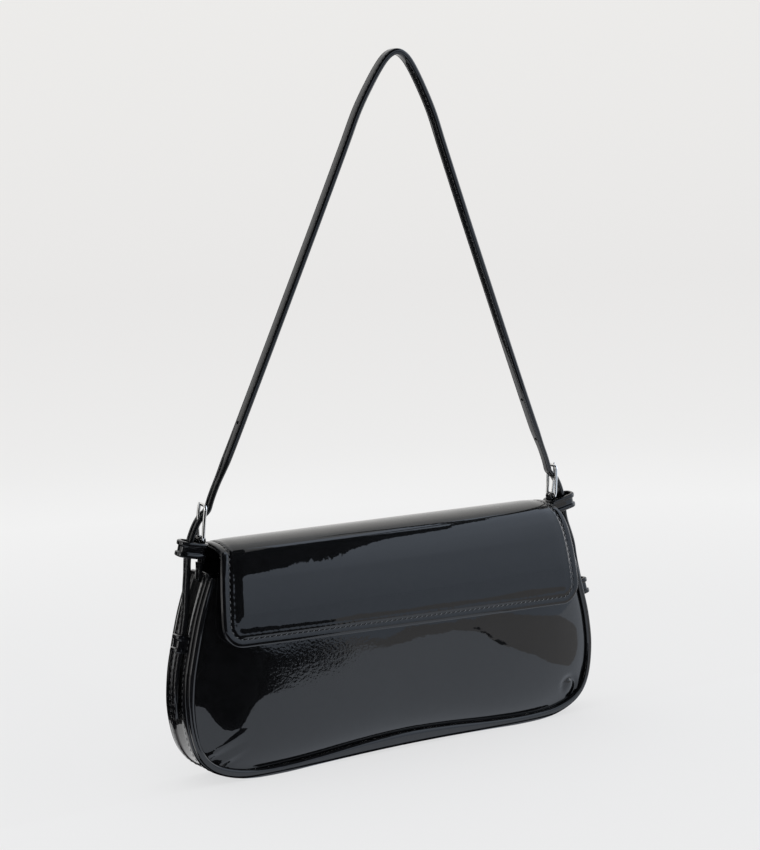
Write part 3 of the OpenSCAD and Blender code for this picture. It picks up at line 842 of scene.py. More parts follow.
def flap_sheet(name, inset, d0, d1, edge_r, mat, node, relief=None, thin=None, s_first=None, cols=250, rows=120):
    """A flap layer from depth d0 to d1 with a rounded edge of radius edge_r, as a grid aligned with the fold."""
    ins = inset + edge_r
    r = CORNER - ins
    hw_end = flap_hw(S_END) - ins
    s0 = S_LAP + ins if s_first is None else s_first

    def half_at(s, sgn):
        s_c = flap_end(sgn * (hw_end - r)) - ins - r
        e = np.clip(s - s_c, 0, r)
        return flap_hw(s) - ins - (r - np.sqrt(np.maximum(r * r - e * e, 0)))

    # rows follow the skewed lower edge: v runs from 0 at the start to 1 at the edge
    a = np.linspace(0, math.pi / 2, 16)[1:]
    v_line = np.linspace(0, 1, rows)
    u = np.linspace(-1, 1, cols)
    # finer columns near the two sides
    dist = np.concatenate([np.arange(0, 7, 0.42), np.linspace(7, 112, int((cols - 34) / 2))])
    grid_x, grid_s = [], []
    length = S_END - 1.3 - ins - s0
    tail = (r * np.sin(a) + (length - r)) / length
    v = np.concatenate([np.linspace(0, (length - r) / length, rows), tail])
    for vv in v:
        sm = s0 + vv * length
        skew = SKEW / 117.0 * vv ** 3
        xr = half_at(np.array(sm), 1)
        # corner shrink taken on the unskewed row, so both corners keep their radius
        e = np.clip(sm - (S_END - 1.3 - ins - r), 0, r)
        shrink = r - math.sqrt(max(r * r - e * e, 0))
        H = float(flap_hw(np.array(min(sm, S_END)))) - ins - shrink
        f = dist / 112.0 * (H - 0.0)
        near = dist[dist < 7]
        pos = np.concatenate([H - near * (H / 112 if shrink > 0.01 else 1), np.interp(np.linspace(0, 1, len(dist) - len(near) + 1)[1:], [0, 1], [H - 7 * (H / 112 if shrink > 0.01 else 1), 0])])
        x = np.concatenate([-pos, pos[::-1][1:]])
        grid_x.append(x)
        grid_s.append(sm + skew * x)
    X, Sg = np.array(grid_x), np.array(grid_s)
    R, C = X.shape
    h = relief(X, Sg) if relief else np.zeros_like(X)
    top = flap_point(X, Sg, d0 - h)
    dd = np.full_like(X, d1)
    if thin is not None:
        dist_in, _ = edge_profile(X, Sg)
        dd = np.where(dist_in > 5.0, thin, d1)
    bot = flap_point(X, Sg, dd)
    # boundary loop of grid indices: left side down, lower edge, right side up, first row back
    loop = [i * C for i in range(R)] + [(R - 1) * C + j for j in range(1, C)] + [i * C + C - 1 for i in range(R - 2, -1, -1)] + [j for j in range(C - 2, 0, -1)]
    flat = np.stack([X.ravel()[loop], Sg.ravel()[loop]], 1)
    t = tangents(flat, closed=True)
    out = np.stack([-t[:, 1], t[:, 0]], 1)
    if (out[R + C // 2] @ np.array([0, 1])) < 0:
        out = -out
    # the first row's ends keep a square corner
    V = [top.reshape(-1, 3), bot.reshape(-1, 3)]
    F = grid_faces(R, C) + [[q[0], q[3], q[2], q[1]] for q in grid_faces(R, C, off=R * C)]
    n = len(loop)
    prev = np.array(loop)
    base = 2 * R * C
    steps = 6
    mid = (d0 + d1) / 2
    rr = (d1 - d0) / 2
    hl = h.ravel()[loop]
    for k in range(1, steps):
        ph = math.pi * k / steps
        pts = flap_point(flat[:, 0] + out[:, 0] * edge_r * math.sin(ph), flat[:, 1] + out[:, 1] * edge_r * math.sin(ph),
                         mid - rr * math.cos(ph) - hl * (math.cos(ph) > 0) * math.cos(ph))
        V.append(pts)
        cur = base + np.arange(n) + (k - 1) * n
        F += [[int(prev[i]), int(prev[(i + 1) % n]), int(cur[(i + 1) % n]), int(cur[i])] for i in range(n)]
        prev = cur
    last = np.array(loop) + R * C
    F += [[int(prev[i]), int(prev[(i + 1) % n]), int(last[(i + 1) % n]), int(last[i])] for i in range(n)]
    return add(name, np.concatenate(V), F, mat, None, [node], sharp=45)


def folds(o):
    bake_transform(o)


folds(flap_sheet("flap_leather", 0.0, 0.0, 1.7, 0.85, M_FLAP, "flap_leather", relief=flap_relief, thin=1.05))
folds(flap_sheet("flap_lining", 0.25, 1.78, 2.95, 0.58, M_TRIM, "flap_lining", s_first=S_FOLD + 1.5, cols=130, rows=70))


def flap_board():
    xs = np.linspace(-108, 108, 60)
    ss = np.linspace(S_FOLD + 4, S_END - 9, 50)
    X, Sg = np.meshgrid(xs, ss)
    a, b = flap_point(X, Sg, 1.16), flap_point(X, Sg, 1.64)
    R, C = X.shape
    V = np.concatenate([a.reshape(-1, 3), b.reshape(-1, 3)])
    F = grid_faces(R, C) + [[q[0], q[3], q[2], q[1]] for q in grid_faces(R, C, off=R * C)]
    loop = [i * C for i in range(R)] + [(R - 1) * C + j for j in range(1, C)] + [i * C + C - 1 for i in range(R - 2, -1, -1)] + [j for j in range(C - 2, 0, -1)]
    n = len(loop)
    F += [[loop[i], loop[(i + 1) % n], loop[(i + 1) % n] + R * C, loop[i] + R * C] for i in range(n)]
    add("flap_board", V, F, M_BOARD, "flap", ["flap_board"])


flap_board()


def on_flap(line, depth):
    P = flap_point(line[:, 0], line[:, 1], np.full(len(line), float(depth)))
    Q = flap_point(line[:, 0], line[:, 1], np.full(len(line), float(depth) + 1))
    return P, (P - Q) / np.linalg.norm(P - Q, axis=1)[:, None]


line = resample(stitch_line, 0.8)
P, N = on_flap(line, 0.30)
o = stitches("flap_stitches", P, N, M_THREAD, None, pitch=3.3, length=2.5, r=0.42, sink=-0.08, slant=0.34)
folds(o)
lap = np.stack([np.linspace(-108.5, 108.5, 260), np.full(260, S_LAP + 3.1)], 1)
P, N = on_flap(lap, 0.02)
stitches("back_seam_stitches", P, N, M_THREAD, "bag", pitch=3.3)
line = resample(flap_outline(STITCH_IN)[40:-40], 0.8)
P, N = on_flap(line, 2.96)
stitches("flap_lining_stitches", P, -N, M_THREAD, "flap", pitch=3.3, length=2.2)

# ------------------------------------------------------------------ strap
STRAP = [[0, 273.6], [5, 271.6], [9.6, 266.6], [16, 256.5], [24, 241.5], [32, 222], [48.6, 182], [65.7, 141.4], [82.8, 101], [100.4, 60],
         [109.4, 40.5], [112.5, 32.6], [113.4, 29.4], [115, 27.7], [117.6, 25.8], [120.4, 21.8], [122.6, 17], [124.4, 11.5], [125.4, 6], [125.8, 0]]
TAIL = [[125.9, 116.2], [127.1, 106], [128.4, 94], [131.4, 79], [135.1, 63.3], [136.8, 50], [137, 43], [137, 36.5]]
SW, ST = 5.6, 2.6
half2 = catmull(STRAP, 20, True)
tail2 = catmull(TAIL, 20)
up3 = lean(np.stack([half2[:, 0], np.zeros(len(half2)), half2[:, 1]], 1))
dn3 = np.stack([tail2[:, 0], np.full(len(tail2), -2.0), tail2[:, 1]], 1)
right3 = np.concatenate([up3, dn3])
left3 = (right3 * [-1, 1, 1])[:0:-1]
belt = soften(resample(np.concatenate([left3, right3]), 0.9), 1.1, 0.9)
# the right tail stands a little off the gusset
bow_r = [np.clip(v, 0, 1) for v in ((126 - belt[:, 2]) / 28, (belt[:, 2] - 50) / 24)]
belt[:, 0] += np.where(belt[:, 0] > 118, 4.4 * bow_r[0] ** 2 * (3 - 2 * bow_r[0]) * bow_r[1] ** 2 * (3 - 2 * bow_r[1]), 0)
belt_t = tangents(belt)
belt_l = arclen(belt)
mid_l = belt_l[-1] / 2
# width direction: along Y on the tails, leaning with the strap above the necks
wz = np.clip((belt[:, 2] - 115) / 9, 0, 1)
belt_b = np.stack([np.zeros(len(belt)), 1 - wz + wz * CL, wz * SL], 1)
belt_b -= (belt_b * belt_t).sum(1)[:, None] * belt_t
belt_b /= np.linalg.norm(belt_b, axis=1)[:, None]
belt_n = np.cross(belt_b, belt_t)
if belt_n[len(belt) // 2, 2] < 0:
    belt_n = -belt_n


ROW_IN = 1.2


def belt_section(w, t):
    """Two folded layers: crowned faces with a channel for each stitch row, and full round edges with a fine seam."""
    P = []
    h = t / 2
    r = min(0.95, h * 0.72)

    def face(y):
        return h - 0.2 * (2 * y / w) ** 2 - 0.2 * math.exp(-((abs(y) - (w / 2 - ROW_IN)) / 0.34) ** 2)

    ys = np.linspace(-w / 2 + r * 0.7, w / 2 - r * 0.7, 27)
    for y in ys:
        P.append([face(y), y])
    side = []
    for a in np.linspace(62, 8, 6):
        side.append([h - r * 1.15 + r * 1.15 * math.sin(math.radians(a)) - 0.2, w / 2 - r + r * math.cos(math.radians(a))])
    side += [[0.14, w / 2], [0.0, w / 2 - 0.16]]
    P += side + [[-q[0], q[1]] for q in side[-2::-1]]
    for y in ys[::-1]:
        P.append([-face(y), y])
    P += [[-q[0], -q[1]] for q in side] + [[q[0], -q[1]] for q in side[-2::-1]]
    return np.array(P)


# the strap is fuller above the buckles
belt_h = np.clip((belt[:, 2] - 162) / 14, 0, 1)
belt_w = SW + 0.3 + 0.9 * belt_h * belt_h * (3 - 2 * belt_h)
belt_t_mm = np.where(belt[:, 2] < 118, ST + 0.2, ST + 0.1 + 0.75 * belt_h * belt_h * (3 - 2 * belt_h))
secs = np.array([belt_section(w, t) for w, t in zip(belt_w, belt_t_mm)])
# tapered tips, and a channel along each stitch row
end = np.minimum(belt_l, belt_l[-1] - belt_l)
taper = np.clip(end / 5.0, 0, 1)
secs[:, :, 1] *= (0.42 + 0.58 * np.sqrt(np.clip(1 - (1 - taper) ** 2, 0, 1)))[:, None]
secs[:, :, 0] *= (0.7 + 0.3 * taper)[:, None]
V, F = sweep(belt, belt_n, belt_b, secs)
strap = add("shoulder_strap", V, F, M_STRAP, None, sharp=40)


def belt_at(side, along=None, z=None, h=None):
    """Index on the belt nearest a height on one side."""
    sel = np.where(belt[:, 0] * side > 0)[0]
    return sel[np.argmin(np.abs(belt[sel, 2] - z))]


holes = []
HOLE_Z = [193.7, 169.2, 94.0, 70.5, 46.5]
ring_parts = []
for sd in (-1, 1):
    for z in HOLE_Z:
        i = belt_at(sd, z=z)
        holes.append(rod(belt[i] - belt_n[i] * 4, belt[i] + belt_n[i] * 4, 0.95, 20))
        for f in (1, -1):
            # the punched edge, pressed up a little
            a = 2 * math.pi * np.arange(28) / 28
            c = belt[i] + belt_n[i] * f * (belt_t_mm[i] / 2 - 0.04)
            path = c + np.outer(np.cos(a) * 1.08, belt_t[i]) + np.outer(np.sin(a) * 1.08, belt_b[i])
            rad = (path - c) / 1.08
            ring_parts.append(sweep(path, rad, np.tile(belt_n[i] * f, (28, 1)), rrect(0.26, 0.2, 0.09, 2), closed=True))
    # slot for the prong
    slotbox = []
    for q in ((113.0, 18.2), (112.9, 34.5), (124.6, 31.5), (123.6, 18.2)):
        slotbox.append([sd * q[0], q[1]])
    A = lean([[p[0], -0.95, p[1]] for p in slotbox])
    B = lean([[p[0], 0.95, p[1]] for p in slotbox])
    holes.append((np.concatenate([A, B]), [[0, 1, 2, 3], [7, 6, 5, 4], [0, 4, 5, 1], [1, 5, 6, 2], [2, 6, 7, 3], [3, 7, 4, 0]]))
cut(strap, *merge(holes))
V, F = merge(ring_parts)
rings = add("strap_hole_rims", V, F, M_TRIM, None, sharp=50)


def swings(o):
    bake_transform(o)


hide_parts("shoulder_strap", "strap_tail_left", "strap_tail_right")
swings(strap)
swings(rings)
for k, (f, g) in enumerate(((1, 1), (1, -1), (-1, 1), (-1, -1))):
    for sd in (-1, 1):
        sel = np.where(belt[:, 0] * sd >= 0)[0]
        lo = sel[3:-2] if sd < 0 else sel[2:-3]
        P = belt[lo] + belt_n[lo] * (f * (belt_t_mm[lo] / 2 - 0.3))[:, None] + belt_b[lo] * (g * (belt_w[lo] / 2 - ROW_IN))[:, None]
        o = stitches("strap_stitches_%d_%s" % (k, "left" if sd < 0 else "right"), P, belt_n[lo] * f, M_THREAD, None,
                     pitch=3.3, length=2.1, r=0.24, sink=0.0)
        swings(o)


# ------------------------------------------------------------------ chapes
def chape(s, tag):
    """A folded tab: round the buckle's heel bar, down through the keeper, and sewn to the gusset."""
    w = 5.2
    hx, hh = (118.0 if s < 0 else 116.6), 13.0
    R = 1.85
    th = 1.0
    # loop in (x, h), seen from the front: from the inner leaf's foot, up, round the bar and down the outer leaf
    P = [[116.95, 0.4], [116.4, 3.5], [hx - 0.4, 8.0], [hx - 1.3, hh - 2.2]]
    for a in np.linspace(205, -25, 12):
        P.append([hx + R * math.cos(math.radians(a)), hh + R * math.sin(math.radians(a))])
    P += [[hx + 1.5, hh - 2.5], [hx + 1.5, hh - 5.3], [117.95, 3.2], [118.15, 0.4]]
    P = resample(catmull(P, 8), 0.4)
    q = lean(np.stack([s * P[:, 0], np.zeros(len(P)), P[:, 1]], 1))
    t = tangents(q)
    b = np.tile([0.0, CL, SL], (len(q), 1))
    n = np.cross(b, t)
    V1 = sweep(q, n, b, rrect(th, w, 0.3, 3))
    # the two leaves together run down outside the gusset
    D = np.array([[117.7, 0.8], [117.9, -3.4], [118.5, -6.5], [119.4, -9.6]])
    D = resample(catmull(np.stack([D[:, 0], 119.5 + D[:, 1]], 1), 10), 0.6)
    q = np.stack([s * (D[:, 0] + 0.95), np.full(len(D), -2.0), D[:, 1]], 1)
    t = tangents(q)
    b = np.tile([0.0, 1, 0], (len(q), 1))
    n = np.cross(b, t)
    k = len(q)
    secs = np.repeat(rrect(2.1, w, 0.45, 3)[None], k, 0)
    e = np.clip((k - 1 - np.arange(k)) / 6, 0, 1)
    secs[:, :, 1] *= (0.45 + 0.55 * np.sqrt(1 - (1 - e) ** 2))[:, None]
    secs[:, :, 0] *= (0.6 + 0.4 * e)[:, None]
    V2 = sweep(q, n, b, secs)
    V, F = merge([V1, V2])
    o = add("chape_" + tag, V, F, M_STRAP, None, ["chape_loop_" + tag, "chape_tab_" + tag], sharp=50)
    # a gap in the loop for the prong
    cut(o, *box_solid(lean([[s * hx, 0, hh + 2.2]])[0], 7, 1.9, 5.0))
    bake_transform(o)
    out = -n if (n[0] @ np.array([s, 0, 0])) < 0 else n
    for off in (-1.75, 1.75):
        P = q[4:-5] + out[4:-5] * 1.05 + b[4:-5] * off
        st = stitches("chape_stitches_%s_%d" % (tag, off > 0), P, out[4:-5], M_THREAD, None, pitch=2.6, length=1.8, r=0.22)
        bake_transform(st)


def box_solid(c, dx, dy, dz):
    x, y, z = c
    P = [[x + sx * dx / 2, y + sy * dy / 2, z + sz * dz / 2] for sz in (-1, 1) for sy in (-1, 1) for sx in (-1, 1)]
    return np.array(P), [[0, 1, 3, 2], [4, 6, 7, 5], [0, 4, 5, 1], [2, 3, 7, 6], [0, 2, 6, 4], [1, 5, 7, 3]]


chape(-1, "left")
chape(1, "right")


# ------------------------------------------------------------------ buckles
def wire(path, r, closed=True, n=16, scale=None):
    t = tangents(path, closed)
    ref = np.array([1.0, 0, 0.02])
    b = np.cross(t, ref)
    b /= np.maximum(np.linalg.norm(b, axis=1), 1e-9)[:, None]
    nn = np.cross(b, t)
    a = 2 * math.pi * np.arange(n) / n
    sec = np.stack([np.cos(a) * r, np.sin(a) * r], 1)
    secs = np.repeat(sec[None], len(path), 0)
    if scale is not None:
        secs = secs * scale[:, None, None]
    return sweep(path, nn, b, secs, closed=closed)


def buckle(s, tag):
    hx, h0, h1, by, cr = (118.0 if s < 0 else 116.6), 13.0, 32.2, 4.0, 1.9
    P = []
    for cy, ch, a0 in ((by - cr, h1 - cr, 0), (-by + cr, h1 - cr, 90), (-by + cr, h0 + cr, 180), (by - cr, h0 + cr, 270)):
        for k in range(9):
            a = math.radians(a0 + 90 * k / 8)
            P.append([s * hx, cy + cr * math.cos(a), ch + cr * math.sin(a)])
    P = resample(np.array(P + P[:1]), 0.5)[:-1]
    # the sides bow out very slightly from the strap, the ends stay flat
    bow = np.sin(np.clip((P[:, 2] - h0) / (h1 - h0), 0, 1) * math.pi)
    P[:, 0] += s * 0.25 * bow - s * (1.5 if s < 0 else 0.2) * (P[:, 2] - h0) / (h1 - h0)
    V, F = wire(lean(P), 0.95)
    add("buckle_frame_" + tag, V, F, M_BUCKLE, "buckle_" + tag, ["buckle_frame_" + tag], sharp=0)
    # prong: an eye round the heel bar and a slightly curved tapering tongue
    a = np.radians(np.linspace(-250, 70, 26))
    eye = np.stack([s * hx + s * 1.8 * np.sin(a) * -1, np.zeros(26), h0 + 1.8 * np.cos(a)], 1)
    n = 26
    u = np.linspace(0, 1, n)
    tx = hx + 0.75 + 1.5 * np.sin(u * math.pi) * 0.35 + (-0.2 if s < 0 else 0.6) * u
    tongue = np.stack([s * tx, np.zeros(n), h0 + 1.2 + u * 19.7], 1)
    body = wire(lean(resample(tongue, 0.5)), 0.7, closed=False, scale=np.interp(np.linspace(0, 1, len(resample(tongue, 0.5))), [0, 0.8, 0.96, 1], [1.05, 0.95, 0.72, 0.35]))
    ring = wire(lean(eye), 0.5, closed=False)
    V, F = merge([body, ring])
    add("buckle_prong_" + tag, V, F, M_BUCKLE, "prong_" + tag, ["buckle_prong_" + tag], sharp=0)


buckle(-1, "left")
buckle(1, "right")


# ------------------------------------------------------------------ keepers
def keeper_section(h, t=0.8, rim=1.0, rim_h=2.6):
    """(outwards, along the strap): flat inside, two raised rolled rims outside with a flat band between."""
    zs = np.linspace(-h / 2, h / 2, 33)
    P = []
    for z in zs:
        e = h / 2 - abs(z)
        up = 0.5 - 0.5 * math.cos(math.pi * min(1, max(0, (rim_h + 0.35 - e) / 0.5)))
        roll = math.sqrt(max(0, 1 - max(0, (0.75 - e) / 0.75) ** 2))
        dome = 0.12 * math.sin(math.pi * min(1, max(0, e / rim_h)))
        P.append([(t + rim * up) * (0.25 + 0.75 * roll) + dome * up, z])
    P += [[0.0, h / 2 - 0.15], [0.0, h / 4], [0.0, 0.0], [0.0, -h / 4], [0.0, -h / 2 + 0.15]]
    return np.array(P)


def upper_keeper(s, tag):
    L, W, r = (13.6 if s < 0 else 16.4), SW + 0.95, 2.4
    base = rrect(L, W, r, 7)  # inner outline
    P = resample(np.concatenate([base, base[:1]]), 0.5)[:-1]
    tilt = math.radians(12)
    ax = np.array([s * math.cos(tilt), 0, math.sin(tilt)])
    ay = np.array([0.0, 1, 0])
    az = np.array([-s * math.sin(tilt), 0, math.cos(tilt)])
    # the loop is soft: its ends are rounder than its sides
    puffy = 0.25 * np.cos(P[:, 0] / (L / 2) * math.pi / 2)
    P2 = P.copy()
    P2[:, 1] += np.sign(P[:, 1]) * puffy
    t2 = tangents(P2, closed=True)
    n2 = np.stack([t2[:, 1], -t2[:, 0]], 1)
    path = np.outer(P2[:, 0], ax) + np.outer(P2[:, 1], ay)
    nn = np.outer(n2[:, 0], ax) + np.outer(n2[:, 1], ay)
    if (nn[0] @ path[0]) < 0:
        nn = -nn
    bb = np.tile(az, (len(P), 1))
    c = np.array([s * (123.1 if s < 0 else 122.9), 0, 8.4])
    V, F = sweep(path + c, nn, bb, keeper_section(9.0), closed=True)
    add("upper_keeper_" + tag, lean(V), F, M_TRIM, "keeper_" + tag, ["upper_keeper_" + tag], sharp=50)


upper_keeper(-1, "left")
upper_keeper(1, "right")


def lower_keeper(s, tag):
    """A bridge over the tail, its two feet sewn into the gusset."""
    W = SW + 0.6
    tilt = math.radians(13.4)
    out = np.array([s * math.cos(tilt), 0, math.sin(tilt)])
    up = np.array([-s * math.sin(tilt), 0, math.cos(tilt)])
    c = np.array([s * 131.75, -2.0, 77.4] if s < 0 else [132.6, -2.0, 73.6])
    d = 2.5 if s < 0 else 6.6
    P = [[-2.6, -W / 2 - 0.1], [-0.6, -W / 2]]
    for cy, a0 in ((-W / 2 + 1.0, 180), (W / 2 - 1.0, 90)):
        for k in range(7):
            a = math.radians(a0 - 90 * k / 6)
            P.append([d + 0.3 - 1.0 + 1.0 * math.sin(a) + 0.0, cy + 1.0 * math.cos(a)])
    P += [[-0.6, W / 2], [-2.6, W / 2 + 0.1]]
    P = resample(np.array(P), 0.45)
    t2 = tangents(P)
    n2 = np.stack([t2[:, 1], -t2[:, 0]], 1)
    if n2[len(n2) // 2, 0] < 0:
        n2 = -n2
    path = c + np.outer(P[:, 0], out) + np.outer(P[:, 1], [0, 1, 0])
    nn = np.outer(n2[:, 0], out) + np.outer(n2[:, 1], [0, 1, 0])
    V, F = sweep(path, nn, np.tile(up, (len(P), 1)), keeper_section(10.0))
    add("lower_keeper_" + tag, V, F, M_TRIM, "bag", ["lower_keeper_" + tag], sharp=50)


lower_keeper(-1, "left")
lower_keeper(1, "right")

# ------------------------------------------------------------------ the snap's CAD nodes keep their shape
for n in ("snap_socket", "snap_stud", "socket_washer", "stud_washer"):
    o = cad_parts[n]
    o.data.materials.clear()
    o.data.materials.append(M_SNAP)
    b = o.modifiers.new("soft edges", "BEVEL")
    b.width = 0.00012
    b.segments = 2
    b.limit_method = "ANGLE"

# ------------------------------------------------------------------ stage
# the studio paper glows by itself, and its glow is painted a little lighter and darker with distance from the middle,
# as light falls across the backdrop
fm, fnt, fp = new_mat("studio_paper", base=(0.2, 0.2, 0.2), rough=0.95, spec=0.02)
fc = coords(fnt)
fl = fnt.nodes.new("ShaderNodeVectorMath")
fl.operation = "LENGTH"
fnt.links.new(fc, fl.inputs[0])
fnt.links.new(ramp(fnt, math_node(fnt, "DIVIDE", fl.outputs["Value"], 4.0),
                   [(0.0, (0.652, 0.654, 0.660)), (0.12, (0.662, 0.663, 0.666)), (0.27, (0.705, 0.705, 0.705)), (0.42, (0.672, 0.670, 0.667)),
                    (0.62, (0.640, 0.632, 0.626)), (0.82, (0.676, 0.668, 0.655))]), fp.inputs["Emission Color"])
fp.inputs["Emission Strength"].default_value = 1.0
prof_r = [(0.0, 0.0), (0.6, 0.0), (1.2, 0.0)] + [(1.6 + 1.6 * math.sin(a), 1.6 - 1.6 * math.cos(a)) for a in np.linspace(0, math.pi / 2, 16)] + [(3.2, 2.4), (3.2, 3.4)]
seg = 96
rows = []
for r, z in prof_r:
    r = max(r, 0.001)
    a = 2 * math.pi * np.arange(seg) / seg
    rows.append(np.stack([r * np.cos(a), r * np.sin(a), np.full(seg, z - 0.00015)], 1))
V = np.concatenate(rows)
me = bpy.data.meshes.new("studio_sweep")
me.from_pydata(V.tolist(), [], grid_faces(len(rows), seg, close_cols=True))
for p in me.polygons:
    p.use_smooth = True
floor = bpy.data.objects.new("studio_sweep", me)
scene.collection.objects.link(floor)
me.materials.append(fm)
floor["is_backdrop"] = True

# cards that only the gloss sees
def card_mat(name, color, top=None, height=1.0):
    """Matt card, self-lit to an even tone, or running to a second tone at the given height."""
    mt, nt, p = new_mat(name, base=(0.002, 0.002, 0.002), rough=1.0, spec=0.0)
    p.inputs["Emission Strength"].default_value = 1.0
    if top is None:
        p.inputs["Emission Color"].default_value = (*color, 1)
    else:
        sep = nt.nodes.new("ShaderNodeSeparateXYZ")
        nt.links.new(coords(nt), sep.inputs[0])
        nt.links.new(ramp(nt, math_node(nt, "DIVIDE", sep.outputs["Z"], height), [(0.0, color), (1.0, top)]), p.inputs["Emission Color"])
    return mt


C_BLACK = card_mat("card_black", (0.0, 0.0, 0.0))
C_FLOOR = card_mat("card_floor", (0.95, 1.03, 1.15))
C_MID = card_mat("card_mid", (0.64, 0.63, 0.63))
C_STRIP = card_mat("card_strip", (2.4, 2.45, 2.55))
C_GLINT = card_mat("card_glint", (11.0, 11.0, 11.0))
C_SIDE = card_mat("card_side", (4.0, 4.0, 4.0))
C_FAR = card_mat("card_far", (0.66, 0.76, 0.91))
C_WALL = card_mat("card_wall", (0.66, 0.76, 0.91), (1.12, 1.27, 1.5), 0.9)


def card(name, verts, faces, mat):
    me = bpy.data.meshes.new(name)
    me.from_pydata(np.asarray(verts).tolist(), [], faces)
    me.materials.append(mat)
    o = bpy.data.objects.new(name, me)
    scene.collection.objects.link(o)
    o.visible_camera = False
    o.visible_diffuse = False
    o.visible_shadow = False
    o.visible_transmission = False
    o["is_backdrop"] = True
    return o


def wall_card(name, lower, upper, mat, R):
    """A card on a cylinder round the bag between two lines of (azimuth from straight in front, height)."""
    az = np.linspace(lower[0][0], lower[-1][0], 60)
    rows = []
    for line in (lower, upper):
        z = np.interp(az, [p[0] for p in line], [p[1] for p in line])
        a = np.radians(az)
        rows.append(np.stack([R * np.sin(a), -R * np.cos(a), z], 1))
    return card(name, np.concatenate(rows), grid_faces(2, 60), mat)


def floor_card(name, pts, z, mat):
    return card(name, [[x, y, z] for x, y in pts], [list(range(len(pts)))], mat)


wall_card("card_front_left", [(-80, -0.01), (14.8, -0.01)], [(-80, 3), (14.8, 3)], C_BLACK, 1.34)
wall_card("card_right", [(14.5, -0.01), (110, -0.01)], [(14.5, 3), (110, 3)], C_WALL, 1.36)
wall_card("card_above", [(13.5, 0.44), (22.3, 0.55), (26.5, 0.70), (29, 0.81), (33, 0.98), (40, 1.27), (48, 1.54), (75, 2.05), (88, 2.6)],
          [(13.5, 3), (88, 3)], C_BLACK, 1.33)
wall_card("card_rail", [(70, 1.98), (125, 1.98)], [(70, 2.12), (125, 2.12)], C_BLACK, 1.32)
wall_card("card_right_strip", [(58, 0.02), (90, 0.02)], [(58, 0.75), (90, 0.75)], C_STRIP, 1.3)
card("card_ceiling", [[-1.6, -1.6, 2.5], [1.0, -1.6, 2.5], [1.0, 0.35, 2.5], [-1.6, 0.35, 2.5]], [[0, 1, 2, 3]], C_BLACK)
floor_card("card_floor_front", [(-0.6, -0.002), (1.4, -0.002), (1.4, -1.4), (-0.6, -1.4)], 0.0004, C_FLOOR)
floor_card("card_floor_far", [(0.09, -0.47), (0.139, -0.387), (0.2, -0.4), (0.33, -0.36), (0.42, -0.27), (1.4, -0.27), (1.4, -1.4), (0.08, -1.4)],
           0.0005, C_FAR)
floor_card("card_floor_right", [(0.09, -0.262), (0.124, -0.276), (0.161, -0.28), (0.18, -0.262), (0.207, -0.274), (0.219, -0.257), (0.196, -0.19),
                                (0.186, -0.121), (0.179, -0.076), (0.187, -0.05), (0.25, -0.068), (0.36, -0.12), (0.42, -0.27), (0.33, -0.36),
                                (0.2, -0.4), (0.139, -0.387)], 0.0006, C_MID)
for k, q in enumerate(([(0.236, -0.298), (0.226, -0.275), (0.232, -0.272), (0.245, -0.296)], [(0.223, -0.264), (0.209, -0.226), (0.215, -0.224), (0.229, -0.262)],
                       [(0.206, -0.216), (0.196, -0.19), (0.204, -0.19), (0.213, -0.214)])):
    floor_card("card_floor_streak_%d" % k, q, 0.0008, C_BLACK)
floor_card("card_floor_left", [(-0.6, -0.2), (-0.178, -0.184), (-0.15, -0.162), (-0.131, -0.132), (-0.121, -0.101), (-0.11, -0.073), (-0.102, -0.069),
                               (-0.092, -0.076), (-0.075, -0.11), (-0.061, -0.135), (-0.048, -0.153), (-0.015, -0.19), (0.012, -0.197), (0.047, -0.227),
                               (0.092, -0.263), (0.115, -0.32), (0.139, -0.387), (0.09, -0.47), (0.08, -1.4), (-0.6, -1.3), (-1.3, -0.3)], 0.001, C_BLACK)
# a black card round the bag's foot that only the gloss sees: a painted contact shadow for the rims and panels to
# reflect
floor_card("card_floor_contact_shadow", [(-0.15, 0.022), (0.15, 0.022), (0.15, -0.0085), (-0.15, -0.0085)], 0.0012, C_BLACK)
floor_card("card_floor_behind", [(-0.19, 0.0), (-0.166, 0.095), (-0.148, 0.122), (-0.08, 0.16), (-0.1, 0.9), (-0.25, 1.25), (-0.9, 0.95), (-0.55, 0.1), (-0.3, -0.1)],
           0.0006, C_BLACK)
wall_card("card_behind", [(-160, 0.0), (-132, 0.0)], [(-160, 0.55), (-132, 0.55)], C_BLACK, 1.3)
card("card_left_glint", [[-1.3, -0.64, 0.50], [-1.3, -0.38, 0.50], [-1.3, -0.38, 0.82], [-1.3, -0.64, 0.82]], [[0, 1, 2, 3]], C_GLINT)
card("card_left_strip", [[-1.3, -0.30, 0.10], [-1.3, -0.02, 0.10], [-1.3, -0.02, 0.62], [-1.3, -0.30, 0.62]], [[0, 1, 2, 3]], C_SIDE)

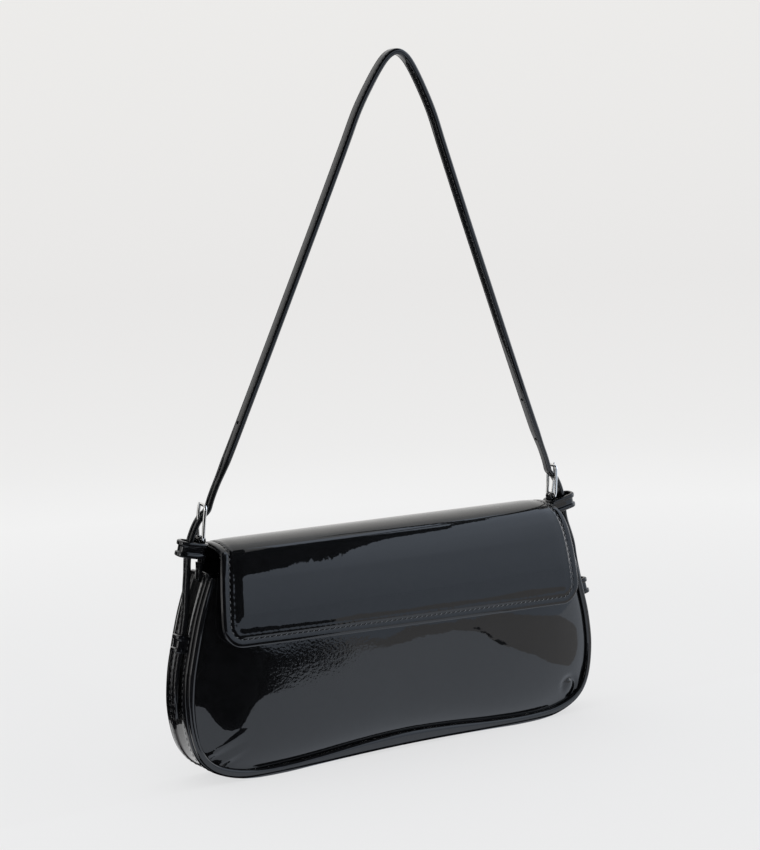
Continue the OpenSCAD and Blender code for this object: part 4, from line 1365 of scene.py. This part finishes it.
world = bpy.data.worlds.new("studio")
scene.world = world
world.use_nodes = True
bg = world.node_tree.nodes["Background"]
bg.inputs["Color"].default_value = (0.97, 0.985, 1.0, 1)
bg.inputs["Strength"].default_value = 0.8


def area(name, loc, target, size, energy, color=(1, 1, 1)):
    L = bpy.data.lights.new(name, "AREA")
    L.shape = "RECTANGLE"
    L.size, L.size_y = size
    L.energy = energy
    L.color = color
    o = bpy.data.objects.new(name, L)
    scene.collection.objects.link(o)
    o.location = loc
    o.rotation_mode = "QUATERNION"
    o.rotation_quaternion = (Vector(target) - Vector(loc)).to_track_quat("-Z", "Y")
    o.visible_glossy = False
    return o


area("top_soft", (-0.2, 0.3, 2.6), (0, 0, 0.1), (2.4, 2.4), 5)
area("left_soft", (-2.1, 0.7, 1.3), (0, 0, 0.15), (1.2, 1.6), 3)

# ------------------------------------------------------------------ camera
cd = bpy.data.cameras.new("camera")
cam = bpy.data.objects.new("camera", cd)
scene.collection.objects.link(cam)
scene.camera = cam
cd.sensor_fit = "AUTO"
cd.sensor_width = 36
cd.lens = 1731.754 / 850 * 36
cd.clip_start, cd.clip_end = 0.01, 50
az, el, roll = math.radians(31.039), math.radians(6.768), math.radians(-2.476)
back = np.array([-math.sin(az) * math.cos(el), -math.cos(az) * math.cos(el), math.sin(el)])
eye = np.array([0, -3.55 + Y0, 150]) + back * 990.813
az2, el2 = az - math.radians(0.1117), el - math.radians(2.0226)
fwd = -np.array([-math.sin(az2) * math.cos(el2), -math.cos(az2) * math.cos(el2), math.sin(el2)])
rt = np.cross(fwd, [0, 0, 1])
rt /= np.linalg.norm(rt)
upv = np.cross(rt, fwd)
r2 = math.cos(roll) * rt + math.sin(roll) * upv
u2 = -math.sin(roll) * rt + math.cos(roll) * upv
M = Matrix(((r2[0], u2[0], -fwd[0], eye[0] / 1000), (r2[1], u2[1], -fwd[1], eye[1] / 1000), (r2[2], u2[2], -fwd[2], eye[2] / 1000), (0, 0, 0, 1)))
cam.matrix_world = M

scene.view_settings.view_transform = "Standard"
scene.view_settings.look = "None"

lo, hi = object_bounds()
